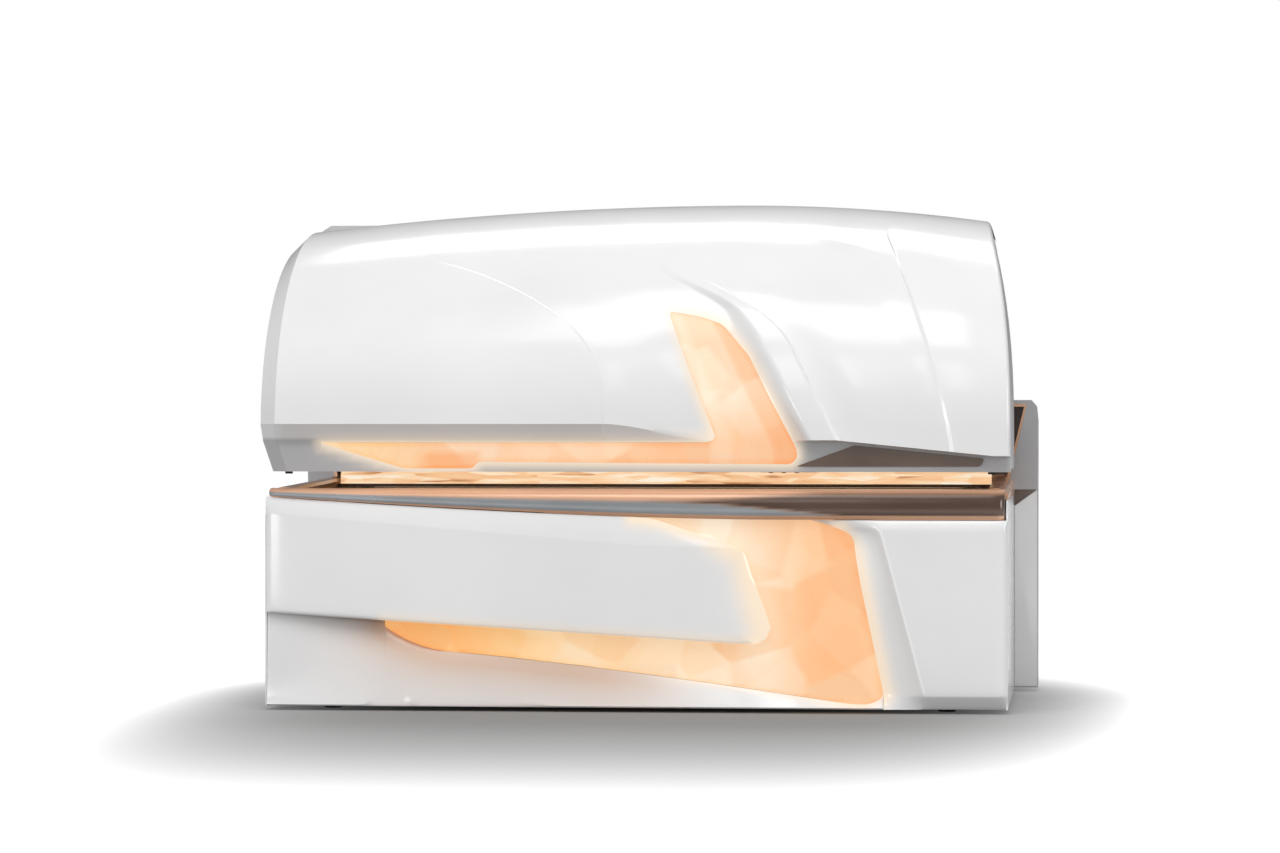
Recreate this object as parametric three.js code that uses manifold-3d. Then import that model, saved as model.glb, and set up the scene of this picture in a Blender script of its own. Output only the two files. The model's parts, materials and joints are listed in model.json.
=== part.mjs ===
// A clamshell tanning bed: a fixed base with a lamp bench, a rear housing, and a canopy on rear hinges.
// Millimetres, +Z up, X along the bed, -Y is the front. The origin is on the floor under the middle.
import * as THREE from "three";
import { mergeVertices } from "three/addons/utils/BufferGeometryUtils.js";
import Module from "manifold-3d";

const wasm = await Module();
wasm.setup();

// Overall sizes.
const TUB_HALF = 1150; // half the length of the base covers
const REAR_HALF = TUB_HALF + 78; // half the width of the rear housing
const DEPTH = 1450; // from the front face of the base to the rear face of the housing
const FRONT_Y = -DEPTH / 2;
const REAR_Y = DEPTH / 2;
const FLOOR_GAP = 14; // covers clear the floor by this much
const RIM_TOP = 690; // top of the base rim
const LIP_BOTTOM = 740; // underside of the closed canopy's lip

// Fits and wall thicknesses.
const SEAT = 0.3; // gap between pieces that rest on each other
const RUN = 0.4; // gap round a pin or a rod that moves
const COVER = 5; // moulded covers
const SHEET = 4; // acrylic sheets
const FOIL = 2; // reflectors

// The canopy skin: a quarter ellipse over a short straight wall, higher right of the middle.
const SKIN_LEFT = -TUB_HALF - 20;
const SKIN_RIGHT = TUB_HALF + 8;
const SKIN_CENTRE_Y = 80;
const SKIN_CENTRE_Z = 860;
const SKIN_FRONT = FRONT_Y + 8;
const SKIN_DEPTH = SKIN_CENTRE_Y - SKIN_FRONT; // from the ellipse's centre to the front face
const SKIN_RISE = 738; // from the ellipse's centre to the crown
const SKIN_REAR = 330; // the white skin ends here
const CROWN_X = 280;
const CROWN_DROP_LEFT = 0.118;
const CROWN_DROP_RIGHT = 0.093;
const END_BEVEL = 53; // length of the slope along the left end
const END_BEVEL_DEPTH = 45;
const RIGHT_LEAN = 75; // the right end leans in by this at the crown

// The sculpted front of the canopy.
const LIP_DEPTH = 40; // the lip lies this far behind the front face
const LIP_TAPER = 14; // and falls back this much more towards its lower edge
const LIP_TUCK = 30; // its left end is drawn in by this much
const SWOOSH_STEP = 5; // step at the edge of the big left panel
const RECESS_TOP = 14; // depth of the scoop at the top of the insert
const BAND_RISE = 8; // the swoosh bands stand proud by this

// The lying tunnel: two arcs over the same chord.
const TUNNEL_FRONT = SKIN_FRONT + 112;
const TUNNEL_REAR = 235;
const TUNNEL_Y = (TUNNEL_FRONT + TUNNEL_REAR) / 2;
const TUNNEL_HALF = (TUNNEL_REAR - TUNNEL_FRONT) / 2;
const CANOPY_APEX = 1080;
const BENCH_LOW = 515;
const BENCH_EDGE_Z = 680;
const LAMP_RADIUS = 19;
const LAMP_SPACE = 48; // from the sheet to the reflector
const LAMP_COUNT = 12;
const LAMP_HALF = TUB_HALF - 138;

// Hinges, struts and fans.
const HOUSING_TOP = 968; // the hinges stand on the rear housing
const HINGE_Y = 470;
const HINGE_Z = HOUSING_TOP + 22;
const HINGE_X = TUB_HALF - 390;
const PIN_RADIUS = 8;
const KNUCKLE_RADIUS = 19;
const STRUT_X = TUB_HALF - 150;
const STRUT_FOOT = [400, 330]; // Y and Z of the lower pivot
const STRUT_HEAD = [314, 936]; // Y and Z of the upper pivot
const STRUT_RADIUS = 14;
const ROD_RADIUS = 6;
const STRUT_EYE = 13;
const BARREL_LENGTH = 430;
const ROD_LENGTH = 380;
const HEAD_CLEARANCE = 11; // free play round the rod's head
const FAN_X = 600;
const FAN_Z = 360;
const FAN_RADIUS = 140;

// The rear housing.
const HOUSING_FRONT = 450;
const WALL_BOTTOM_HALF = TUB_HALF - 18;
const WALL_TOP_HALF = REAR_HALF - 36;
const WALL_TOP = HOUSING_TOP - 13;
const WALL_DEPTH = 50;
const HOUSING_WALL = 10;

// Air nozzles in the canopy's right end.
const NOZZLE_RADIUS = 21.5;
const NOZZLE_HALF = 24;
const NOZZLE_Z = 880;
const NOZZLES = [TUNNEL_Y - 115, TUNNEL_Y + 115]; // their places along the end

// Buttons under the lip.
const BUTTONS = [420, 460, 500];
const BUTTON_RADIUS = 7;

const white = { color: 0xf1f1ef, roughness: 0.22, metalness: 0 };
const glow = { color: 0xffc690, roughness: 0.35, metalness: 0 };
const copper = { color: 0xb9795a, roughness: 0.14, metalness: 1 };
const umber = { color: 0x45332b, roughness: 0.12, metalness: 0.2 };
const grey = { color: 0xb4b5b7, roughness: 0.4, metalness: 0 };
const steel = { color: 0x8d9094, roughness: 0.4, metalness: 0.9 };
const mirror = { color: 0xd9dbdd, roughness: 0.1, metalness: 1 };
const acrylic = { color: 0xe6e2dc, roughness: 0.08, metalness: 0 };
const lampWhite = { color: 0xf4efe6, roughness: 0.3, metalness: 0 };
const black = { color: 0x1c1c1d, roughness: 0.6, metalness: 0 };

const clamp = (value, low, high) => Math.min(Math.max(value, low), high);
const mix = (a, b, t) => a + (b - a) * t;
const smooth = (t) => {
  const c = clamp(t, 0, 1);
  return c * c * (3 - 2 * c);
};

// Solids and booleans.
function solidOf(geometry) {
  const bare = geometry.index ? geometry.toNonIndexed() : geometry.clone();
  bare.deleteAttribute("normal");
  bare.deleteAttribute("uv");
  const merged = mergeVertices(bare, 1e-3);
  const vertProperties = new Float32Array(merged.attributes.position.array);
  const triVerts = new Uint32Array(merged.index.array);
  return new wasm.Manifold(new wasm.Mesh({ numProp: 3, vertProperties, triVerts }));
}

function geometryOf(solid) {
  const mesh = solid.getMesh();
  const geometry = new THREE.BufferGeometry();
  geometry.setAttribute("position", new THREE.BufferAttribute(mesh.vertProperties.slice(), 3));
  geometry.setIndex(new THREE.BufferAttribute(mesh.triVerts.slice(), 1));
  geometry.computeVertexNormals();
  return geometry;
}

const join = (...shapes) => shapes.map(solidOf).reduce((a, b) => a.add(b));
const cut = (body, ...tools) => tools.map(solidOf).reduce((a, b) => a.subtract(b), body);

// Basic shapes, placed by their limits.
function slab(x, y, z) {
  const box = new THREE.BoxGeometry(x[1] - x[0], y[1] - y[0], z[1] - z[0]);
  return box.translate((x[0] + x[1]) / 2, (y[0] + y[1]) / 2, (z[0] + z[1]) / 2);
}

function shapeOf(points) {
  return new THREE.Shape(points.map(([a, b]) => new THREE.Vector2(a, b)));
}

const AXIS_X = new THREE.Vector3(1, 0, 0);
const AXIS_Y = new THREE.Vector3(0, 1, 0);
const AXIS_Z = new THREE.Vector3(0, 0, 1);

// A prism of an outline in X and Z, between two values of Y.
function prismXZ(points, y) {
  const options = { depth: y[1] - y[0], bevelEnabled: false };
  const body = new THREE.ExtrudeGeometry(shapeOf(points), options);
  body.applyMatrix4(new THREE.Matrix4().makeBasis(AXIS_X, AXIS_Z, AXIS_Y.clone().negate()));
  return body.translate(0, y[1], 0);
}

// A prism of an outline in Y and Z, between two values of X.
function prismYZ(points, x) {
  const options = { depth: x[1] - x[0], bevelEnabled: false };
  const body = new THREE.ExtrudeGeometry(shapeOf(points), options);
  body.applyMatrix4(new THREE.Matrix4().makeBasis(AXIS_Y, AXIS_Z, AXIS_X));
  return body.translate(x[0], 0, 0);
}

function cylinderX(radius, x, y, z, sides = 12) {
  const body = new THREE.CylinderGeometry(radius, radius, x[1] - x[0], sides);
  return body.rotateZ(-Math.PI / 2).translate((x[0] + x[1]) / 2, y, z);
}

function cylinderY(radius, x, y, z, sides = 24) {
  const body = new THREE.CylinderGeometry(radius, radius, y[1] - y[0], sides);
  return body.translate(x, (y[0] + y[1]) / 2, z);
}

function cylinderZ(radius, x, y, z, sides = 12) {
  const body = new THREE.CylinderGeometry(radius, radius, z[1] - z[0], sides);
  return body.rotateX(Math.PI / 2).translate(x, y, (z[0] + z[1]) / 2);
}

// A prism of an outline in X and Y, between two values of Z.
function prismXY(points, z) {
  const options = { depth: z[1] - z[0], bevelEnabled: false };
  return new THREE.ExtrudeGeometry(shapeOf(points), options).translate(0, 0, z[0]);
}

// A ring segment in Y and Z about a centre: angles are measured from straight up.
function arcBand(centreZ, inner, outer, from, to, steps) {
  const at = (radius, k) => {
    const angle = mix(from, to, k / steps);
    return [TUNNEL_Y + radius * Math.sin(angle), centreZ + radius * Math.cos(angle)];
  };
  const ring = Array.from({ length: steps + 1 }, (_, k) => at(outer, steps - k));
  return ring.concat(Array.from({ length: steps + 1 }, (_, k) => at(inner, k)));
}

// A closed solid between two facing sheets of points, given by column and row.
function sheetSolid(columns, rows, outer, inner) {
  const points = [];
  const faces = [];
  for (const side of [outer, inner]) {
    for (let i = 0; i <= columns; i++) {
      for (let j = 0; j <= rows; j++) points.push(...side(i, j));
    }
  }
  const half = (columns + 1) * (rows + 1);
  const id = (i, j, back) => back * half + i * (rows + 1) + j;
  const quad = (a, b, c, d) => faces.push(a, b, c, a, c, d);
  for (let i = 0; i < columns; i++) {
    for (let j = 0; j < rows; j++) {
      quad(id(i, j, 0), id(i + 1, j, 0), id(i + 1, j + 1, 0), id(i, j + 1, 0));
      quad(id(i, j, 1), id(i, j + 1, 1), id(i + 1, j + 1, 1), id(i + 1, j, 1));
    }
    quad(id(i + 1, 0, 0), id(i, 0, 0), id(i, 0, 1), id(i + 1, 0, 1));
    quad(id(i, rows, 0), id(i + 1, rows, 0), id(i + 1, rows, 1), id(i, rows, 1));
  }
  for (let j = 0; j < rows; j++) {
    quad(id(0, j, 0), id(0, j + 1, 0), id(0, j + 1, 1), id(0, j, 1));
    quad(id(columns, j + 1, 0), id(columns, j, 0), id(columns, j, 1), id(columns, j + 1, 1));
  }
  const geometry = new THREE.BufferGeometry();
  geometry.setAttribute("position", new THREE.Float32BufferAttribute(points, 3));
  geometry.setIndex(faces);
  geometry.computeVertexNormals();
  return geometry;
}

// Moves each edge of an outline outwards by a distance, keeping its corners.
function grow(points, distance) {
  const turn = Math.sign(THREE.ShapeUtils.area(points.map(([x, y]) => ({ x, y }))));
  return points.map((point, k) => {
    const before = points[(k + points.length - 1) % points.length];
    const after = points[(k + 1) % points.length];
    const a = new THREE.Vector2(point[0] - before[0], point[1] - before[1]).normalize();
    const b = new THREE.Vector2(after[0] - point[0], after[1] - point[1]).normalize();
    const out = new THREE.Vector2(a.y + b.y, -a.x - b.x).normalize();
    const reach = (turn * distance) / Math.max(0.35, out.x * a.y - out.y * a.x);
    return [point[0] + out.x * reach, point[1] + out.y * reach];
  });
}

// Lines on the canopy's front, as X for a height. Each leans to the left and then bends away.
function sweepLine({ x, z, lean, bend, from, top, power }) {
  return (height) => {
    const level = clamp(height, z, top);
    return x - lean * (level - z) - bend * clamp((level - from) / (top - from), 0, 1) ** power;
  };
}

const SWEEP_TOP = 1352; // above this height the lines run on over the crown
const overCrown = (z) => 560 * smooth((z - SWEEP_TOP) / 215);
const panelLine = sweepLine({ x: -99, z: 888, lean: 0, bend: 650, from: 888, top: 1437, power: 3 });
const insertLine = sweepLine({ x: 256, z: 839, lean: 0.41, bend: 0, from: 839, top: 1352, power: 1 });
const outerLine = sweepLine({ x: 507, z: 802, lean: 0.52, bend: 0, from: 802, top: 1352, power: 1 });
const bandLine = sweepLine({ x: 624, z: 839, lean: 0.51, bend: 200, from: 1130, top: 1352, power: 2 });
const ridgeLine = sweepLine({ x: 882, z: 1022, lean: 0.58, bend: 798, from: 1022, top: 1567, power: 10 });
const shoulderLine = sweepLine({ x: 974, z: 818, lean: 0.2, bend: 83, from: 818, top: 1482, power: 2 });
const panelEdge = (z) => panelLine(z) - 0.36 * overCrown(z);
const insertLeft = (z) => insertLine(z) - overCrown(z);
const bandCrease = (z) => bandLine(z) - overCrown(z);
const insertRight = (z) => Math.min(outerLine(z) - overCrown(z), bandCrease(z) - 80);
const ridgeCrease = (z) => shoulderLine(z);
const ridgeLeft = (z) => Math.min(ridgeLine(z), ridgeCrease(z) - 25);

// The lower edge of the front face, and the height of the slope from it to the lip.
const FACE_LEFT = 888;
const FACE_MIDDLE = 838;
const FACE_RIGHT = 790;
function faceBottom(x) {
  if (x < 256) return mix(FACE_LEFT, FACE_MIDDLE, smooth((x + 99) / 355));
  return mix(FACE_MIDDLE, FACE_RIGHT, clamp((x - 624) / 480, 0, 1));
}
const slopeHeight = (x) => mix(52, 6, smooth((x + 99) / 355));

const crownScale = (x) => {
  const left = x < CROWN_X;
  const reach = left ? CROWN_X - SKIN_LEFT : SKIN_RIGHT - CROWN_X;
  return 1 - (left ? CROWN_DROP_LEFT : CROWN_DROP_RIGHT) * ((x - CROWN_X) / reach) ** 2;
};
const lean = (z) => RIGHT_LEAN * clamp((z - 840) / 700, 0, 1) ** 2.5;
const rightEnd = (z) => SKIN_RIGHT - lean(z);
const tuck = (z) => LIP_TUCK * clamp((836 - z) / (836 - LIP_BOTTOM), 0, 1);
const leftEnd = (z) => SKIN_LEFT + tuck(z);

// How far the moulded front stands out of the plain curve.
function relief(x, z) {
  const fade = 1 - smooth((z - 1330) / 110);
  const recess = mix(LIP_DEPTH, RECESS_TOP, clamp((z - 836) / 405, 0, 1));
  const edges = [panelEdge(z), insertLeft(z), insertRight(z), bandCrease(z), ridgeLeft(z), ridgeCrease(z)];
  const [panel, left, right, band, ridge, crease] = edges;
  if (x < panel) return 0;
  if (x < left) return -fade * mix(SWOOSH_STEP, recess, smooth((x - panel) / (left - panel)));
  if (x < right) return -fade * recess;
  if (x < band) return fade * mix(-recess, BAND_RISE, smooth((2 * (x - right)) / (band - right)));
  if (x < ridge) return -fade * BAND_RISE * (1 - smooth((x - band) / 160));
  if (x < crease) return BAND_RISE * smooth((x - ridge) / 50);
  return -SWOOSH_STEP * (1 - smooth((x - crease) / 160));
}

const lipRelief = (z) => -LIP_DEPTH - LIP_TAPER * clamp((836 - z) / (836 - LIP_BOTTOM), 0, 1);

function endInset(x, z) {
  const left = clamp((leftEnd(z) + END_BEVEL - x) / END_BEVEL, 0, 1);
  const right = clamp((x - rightEnd(z) + 12) / 12, 0, 1);
  return END_BEVEL_DEPTH * left + 12 * right * right;
}

// Columns of the skin's net at a height: they follow the lines, and each crease has two of them.
const COLUMN_CELLS = [1, 2, 6, 1, 5, 4, 5, 1, 4, 3, 1, 3, 1, 1];
const COLUMNS = COLUMN_CELLS.reduce((a, b) => a + b, 0);
function columnX(column, z) {
  const start = leftEnd(z);
  const end = rightEnd(z);
  const knots = [start, start + 20, start + END_BEVEL, panelEdge(z) - 4, panelEdge(z) + 4];
  knots.push(insertLeft(z), insertRight(z), bandCrease(z) - 5, bandCrease(z) + 5, ridgeLeft(z));
  knots.push(ridgeCrease(z) - 5, ridgeCrease(z) + 5, end - 20, end - 8, end);
  let k = 0;
  let rest = column;
  while (k < COLUMN_CELLS.length - 1 && rest > COLUMN_CELLS[k]) rest -= COLUMN_CELLS[k++];
  return mix(knots[k], knots[k + 1], rest / COLUMN_CELLS[k]);
}

// Rows: lip edge, foot and top of the slope, then angles up the ellipse and over to the rear.
const REAR_ANGLE = Math.acos((SKIN_CENTRE_Y - SKIN_REAR) / SKIN_DEPTH);
const ANGLE_ROWS = 14;
const ROWS = ANGLE_ROWS + 2;
const rowAngle = (k) => REAR_ANGLE * mix(k / ANGLE_ROWS, (k / ANGLE_ROWS) ** 2, 0.25);

function lipPoint(column, row, depth) {
  let x = columnX(column, FACE_MIDDLE);
  let z = LIP_BOTTOM;
  for (let pass = 0; pass < 4; pass++) {
    z = [LIP_BOTTOM, faceBottom(x) - slopeHeight(x), faceBottom(x)][row];
    x = columnX(column, z);
  }
  const out = row < 2 ? lipRelief(z) : Math.max(relief(x, z), lipRelief(z));
  return [x, SKIN_FRONT - out + endInset(x, z) + depth, z];
}

function skinPoint(column, row, depth) {
  if (row < 3) return lipPoint(column, row, depth);
  const angle = rowAngle(row - 2);
  let x = 0;
  let rise = SKIN_RISE;
  for (let pass = 0; pass < 3; pass++) {
    x = columnX(column, SKIN_CENTRE_Z + rise * Math.sin(angle));
    rise = SKIN_RISE * crownScale(x);
  }
  const z = SKIN_CENTRE_Z + rise * Math.sin(angle);
  const normal = new THREE.Vector2(-Math.cos(angle) / SKIN_DEPTH, Math.sin(angle) / rise).normalize();
  const out = relief(x, z) - endInset(x, z) - depth;
  return [x, SKIN_CENTRE_Y - SKIN_DEPTH * Math.cos(angle) + normal.x * out, z + normal.y * out];
}

// A layer of the skin between two depths below its outer face.
function skinLayer(from, to) {
  const outer = (i, j) => skinPoint(i, j, from);
  const inner = (i, j) => skinPoint(i, j, to);
  return sheetSolid(COLUMNS, ROWS, outer, inner);
}

// The edge of an end plate at one face: points at a depth under the skin, from the lip up to the crown.
function endEdge(side, at, depth) {
  const face = SKIN_FRONT + depth;
  const turn = faceBottom(at);
  const shifted = (z) => at + (side > 0 ? -lean(z) : tuck(z));
  const points = [LIP_BOTTOM + 4, turn - slopeHeight(at)].map((z) => [shifted(z), face - lipRelief(z), z]);
  points.push([shifted(turn), face + 1, turn]);
  for (let k = 1; rowAngle(k) < 1.54; k++) {
    const angle = rowAngle(k);
    let x = at;
    let rise = SKIN_RISE;
    for (let pass = 0; pass < 3; pass++) {
      rise = SKIN_RISE * crownScale(x);
      x = shifted(SKIN_CENTRE_Z + rise * Math.sin(angle));
    }
    const normal = new THREE.Vector2(-Math.cos(angle) / SKIN_DEPTH, Math.sin(angle) / rise).normalize();
    const y = SKIN_CENTRE_Y - SKIN_DEPTH * Math.cos(angle) - normal.x * depth;
    points.push([x, y, SKIN_CENTRE_Z + rise * Math.sin(angle) - normal.y * depth]);
  }
  return points;
}

// A plate that fills the skin's end between two faces, leaning with the end.
function endPlate(side, faces, depth) {
  const [outer, inner] = (side > 0 ? [faces[1], faces[0]] : faces).map((at) => endEdge(side, at, depth));
  const point = (i, [x, front, z]) => {
    const rear = Math.min(SKIN_REAR, 2 * SKIN_CENTRE_Y - front - 16);
    return [x, side > 0 ? mix(front, rear, i) : mix(rear, front, i), z];
  };
  return sheetSolid(1, outer.length - 1, (i, j) => point(i, outer[j]), (i, j) => point(i, inner[j]));
}

// Outlines on the canopy's front, in X and Z.
function insertOutline() {
  const tip = SKIN_LEFT + 185;
  const points = [[tip, 831], [tip + 264, 750], [tip + 482, 750], [tip + 498, 771], [486, 764], [505, 785]];
  for (const z of [815, 950, 1100]) points.push([insertRight(z), z]);
  points.push([269, 1196], [205, 1219], [insertLeft(1238) + 6, 1238]);
  points.push([insertLeft(845), 845], [232, 831]);
  return points;
}
const plateOutline = () => [[500, 757], [SKIN_RIGHT - 92, 757], [SKIN_RIGHT - 80, 782], [680, 822]];

// Scene graph.
const bed = new THREE.Group();
const canopy = new THREE.Group();
bed.add(canopy);

function place(group, name, shape, look) {
  const geometry = shape.isBufferGeometry ? shape : geometryOf(shape);
  const mesh = new THREE.Mesh(geometry, new THREE.MeshStandardMaterial(look));
  mesh.name = name;
  group.add(mesh);
  return mesh;
}

const SIDES = [["left", -1], ["right", 1]];
const span = (side, near, far) => (side < 0 ? [-far, -near] : [near, far]);

// Base front: the floating panel. Its lower edge and its crease both fall towards the right.
const PANEL_LEFT = 4 - TUB_HALF;
const bandBottom = (x) => 594 + 67 * Math.max(0, (393 - x) / 1517) ** 1.6;
const panelBottom = (x) => 302 - 0.0616 * (x - PANEL_LEFT);
const panelCrease = (x) => 612 - 0.082 * (Math.min(x, 24) - PANEL_LEFT) - 0.027 * Math.max(0, x - 24);
const panelTop = (x) => mix(bandBottom(x) + 0.1, panelCrease(x) + 14, smooth((x - 20) / 180));
const PANEL_RIGHT_LEAN = 0.238;
const panelRight = (z) => 317 + PANEL_RIGHT_LEAN * (508 - z);
const PANEL_ROUND = 24; // how far the panel's right end turns back
const PANEL_CORNER = 40; // radius of the corners at the right end

function frontPanel() {
  const heights = [210, 212, 222, 290, 370, 450, 508, 518, 530];
  const columns = 15;
  const point = (i, j, inset) => {
    const turn = Math.max(0, i - columns + 3) / 3;
    const share = 1 - Math.max(0, 1 - i / (columns - 3)) ** 1.7;
    const corner = j > 6 ? 26 * (j - 6) : 0;
    const x = mix(PANEL_LEFT, panelRight(heights[j]) - corner, share) + 36 * turn;
    const level = clamp(x, PANEL_LEFT, 317);
    const rows = [panelBottom(level), panelBottom(level) + 3, panelBottom(level) + 12];
    for (const t of [0.25, 0.5, 0.75, 1]) rows.push(mix(rows[2], panelCrease(level), t));
    rows.push(mix(panelCrease(level), panelTop(level), 0.5), panelTop(level));
    const middle = (rows[0] + rows[8]) / 2;
    const drawn = (PANEL_CORNER * (1 - Math.sqrt(1 - turn * turn))) / (rows[8] - middle);
    const back = [16, 3, 0, 0, 0, 0, 0, 6, 16][j];
    const side = i === 0 ? 10 : i === 1 ? 0 : PANEL_ROUND * turn * turn;
    return [x, FRONT_Y + Math.max(back, side) + inset, mix(rows[j], middle, drawn)];
  };
  return sheetSolid(columns, 8, (i, j) => point(i, j, 0), (i, j) => point(i, j, 8));
}
place(bed, "base_front_panel", frontPanel(), white);

// Base front: the glowing insert, an L under and beside the panel.
const INSERT_TIP = -775;
const INSERT_BEND = -660;
const INSERT_STATIONS = [INSERT_TIP, -770, -745, -710, INSERT_BEND, -560, -380, -160, 60, 300, 520, 690];
const insertEdge = (z) => 767 - 0.212 * (z - 75);
const INSERT_CORNER = 62; // height at which the lower right corner ends
INSERT_STATIONS.push(728, 755, insertEdge(INSERT_CORNER));
const bend = (t) => 1 - Math.sqrt(1 - clamp(t, 0, 1) ** 2);
function insertBottom(x) {
  if (x < INSERT_BEND) return 189 + 71 * bend((INSERT_BEND - x) / (INSERT_BEND - INSERT_TIP));
  const low = 189 - 163 * clamp((x - INSERT_BEND) / 1350, 0, 1) ** 1.25;
  return low + (INSERT_CORNER - 26) * bend((x - 690) / (insertEdge(INSERT_CORNER) - 690));
}
const INSERT_LAP = 15; // the insert reaches this far behind the covers round it
const COVER_TURN = 36; // how far the right cover's edge turns back
const INSERT_FRONT = FRONT_Y + COVER_TURN + COVER + SEAT;

function baseInsert() {
  const points = INSERT_STATIONS.map((x) => [x, insertBottom(x)]);
  const right = insertEdge(500) + INSERT_LAP;
  const top = bandBottom(540) + 6;
  points.push([insertEdge(INSERT_CORNER) + INSERT_LAP, INSERT_CORNER], [right, 500], [right, 556]);
  points.push([640, 582], [600, top], [0, top], [0, 540], [250, 470], [panelRight(245) - 60, 245]);
  for (const x of [150, -300, INSERT_TIP + INSERT_LAP]) points.push([x, panelBottom(x) + INSERT_LAP]);
  return prismXZ(points, [INSERT_FRONT, INSERT_FRONT + 12]);
}
place(bed, "base_insert", baseInsert(), glow);

// Base front: the plinth, scooped out under the panel at the left.
function plinth() {
  const left = PANEL_LEFT + 4;
  const scoop = [0, 0.06, 0.28, 0.52, 0.77, 0.96].map((share) => mix(left, INSERT_TIP, share));
  const columns = [...scoop, ...INSERT_STATIONS];
  const point = (i, j, inset) => {
    const x = columns[i];
    const top = x < INSERT_TIP ? panelBottom(x) + 6 : insertBottom(x) - 2 * SEAT;
    const beside = x < INSERT_TIP ? (INSERT_TIP - x) / (INSERT_TIP - left) : (x - INSERT_TIP) / 300;
    const deep = mix(58, x < INSERT_TIP ? 26 : 36, clamp(beside, 0, 1));
    const fold = mix(34, mix(34, top, 0.82), clamp((x - left) / 400, 0, 1));
    const z = [FLOOR_GAP, FLOOR_GAP + 5, x < -400 ? fold : mix(FLOOR_GAP + 5, top, 0.5), top][j];
    const y = FRONT_Y + [14, 8, mix(8, deep, x < -400 ? 0.62 : 0.5), deep][j];
    return [x, y + inset, z];
  };
  return sheetSolid(columns.length - 1, 3, (i, j) => point(i, j, 0), (i, j) => point(i, j, COVER));
}
place(bed, "base_plinth", plinth(), white);

// Base front: the right cover. It turns back towards the insert, and its lower edge is chamfered.
const rightCrease = (z) => 767 + 0.265 * (549 - z);
function rightCover() {
  const heights = [FLOOR_GAP, 55, 62, 190, 320, 440, 548, 566, 582, 593];
  const columns = 9;
  const point = (i, j, inset) => {
    const z = heights[j];
    const edge = j > 5 ? insertEdge(500) - 44 * (j - 6) : insertEdge(Math.max(z, INSERT_CORNER));
    const crease = rightCrease(z);
    const xs = [edge + 0.6, edge + 18, edge + 46, mix(edge + 46, crease, 0.6), crease, crease + 8];
    xs.push(mix(crease, TUB_HALF, 0.55), TUB_HALF - 26, TUB_HALF - 8, TUB_HALF);
    const side = [COVER_TURN, 28, 24, 14, 4, 0, 0, 0, 5, 20][i];
    const back = [22, 2, 0, 0, 0, 0, 0, 2, 7, 14][j];
    const deep = j === 0 ? mix(14, 22, Math.min(1, i / 5)) : Math.max(side, back);
    return [xs[i] - (i === columns ? inset : 0), FRONT_Y + deep + inset, z];
  };
  return sheetSolid(columns, 9, (i, j) => point(i, j, 0), (i, j) => point(i, j, COVER));
}
place(bed, "base_right_cover", rightCover(), white);

// Base ends: flat covers from the front to the rear housing.
for (const [name, side] of SIDES) {
  const front = FRONT_Y + 27;
  const outline = [[front, FLOOR_GAP], [HOUSING_FRONT - SEAT, FLOOR_GAP], [HOUSING_FRONT - SEAT, 654]];
  outline.push([FRONT_Y + 60, 654], [front, 600]);
  const end = prismYZ(outline, span(side, TUB_HALF - COVER - 1, TUB_HALF));
  place(bed, `base_end_${name}`, end, white);
}

// The two arcs of the tunnel. Everything that follows an arc has the same facets.
const ARC_STEPS = 20;
const CANOPY_EDGE_Z = LIP_BOTTOM + 12 + SEAT;
const arcRadius = (sagitta) => (TUNNEL_HALF ** 2 + sagitta ** 2) / (2 * sagitta);
const CANOPY_RADIUS = arcRadius(CANOPY_APEX - CANOPY_EDGE_Z);
const CANOPY_CENTRE = CANOPY_APEX - CANOPY_RADIUS;
const BENCH_RADIUS = arcRadius(BENCH_EDGE_Z - BENCH_LOW);
const BENCH_CENTRE = BENCH_LOW + BENCH_RADIUS;
const BENCH_HALF = TUNNEL_HALF * (1 + SHEET / BENCH_RADIUS);

// The copper rim: deep at the right of the front, thin at the left, with a rounded nose.
const RIM_INNER = TUNNEL_Y - BENCH_HALF - SEAT;
function frontRim() {
  const columns = 16;
  const left = -TUB_HALF + 12;
  const right = TUB_HALF - 10;
  const face = (i, j) => {
    const x = mix(left, right, i / columns);
    const low = bandBottom(x) + 0.5;
    const nose = [[15, 0], [6, 0.12], [4, 0.45], [14, 0.78], [34, 0.95], [62, 1]];
    const profile = nose.map(([depth, share]) => [FRONT_Y + depth, mix(low, RIM_TOP, share)]);
    profile.push([RIM_INNER, RIM_TOP - 6], [RIM_INNER, RIM_TOP - 26]);
    const end = i === 0 || i === columns ? 8 : 0;
    const [y, z] = profile[j];
    return [x, y + (j < 6 ? end : 0), z];
  };
  const back = (i, j) => {
    const [x, y, z] = face(i, j);
    const push = [[9, 4], [9, 3], [9, 0], [8, -4], [4, -8], [0, -9], [-6, -8], [-6, 0]][j];
    return [x, y + push[0], z + push[1]];
  };
  return sheetSolid(columns, 7, face, back);
}
place(bed, "rim_front", frontRim(), copper);

const RIM_RISE = 26; // the end rims climb this much towards the rear
for (const [name, side] of SIDES) {
  const low = 655;
  const nose = [[TUB_HALF - 56, low], [TUB_HALF - 4, low], [TUB_HALF, low + 12], [TUB_HALF - 8, low + 28]];
  nose.push([TUB_HALF - 30, RIM_TOP], [TUB_HALF - 62, RIM_TOP - 2], [TUB_HALF - 64, RIM_TOP - 12]);
  const outline = nose.map(([x, z]) => [side * x, z]);
  const rim = prismXZ(outline, [RIM_INNER + SEAT, HOUSING_FRONT - SEAT]);
  const spots = rim.attributes.position;
  for (let k = 0; k < spots.count; k++) {
    const climb = (RIM_RISE * (spots.getY(k) - FRONT_Y)) / (HOUSING_FRONT - FRONT_Y);
    if (spots.getZ(k) > low + 1) spots.setZ(k, spots.getZ(k) + climb - 2);
  }
  place(bed, `rim_${name}`, rim, copper);
}

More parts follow.
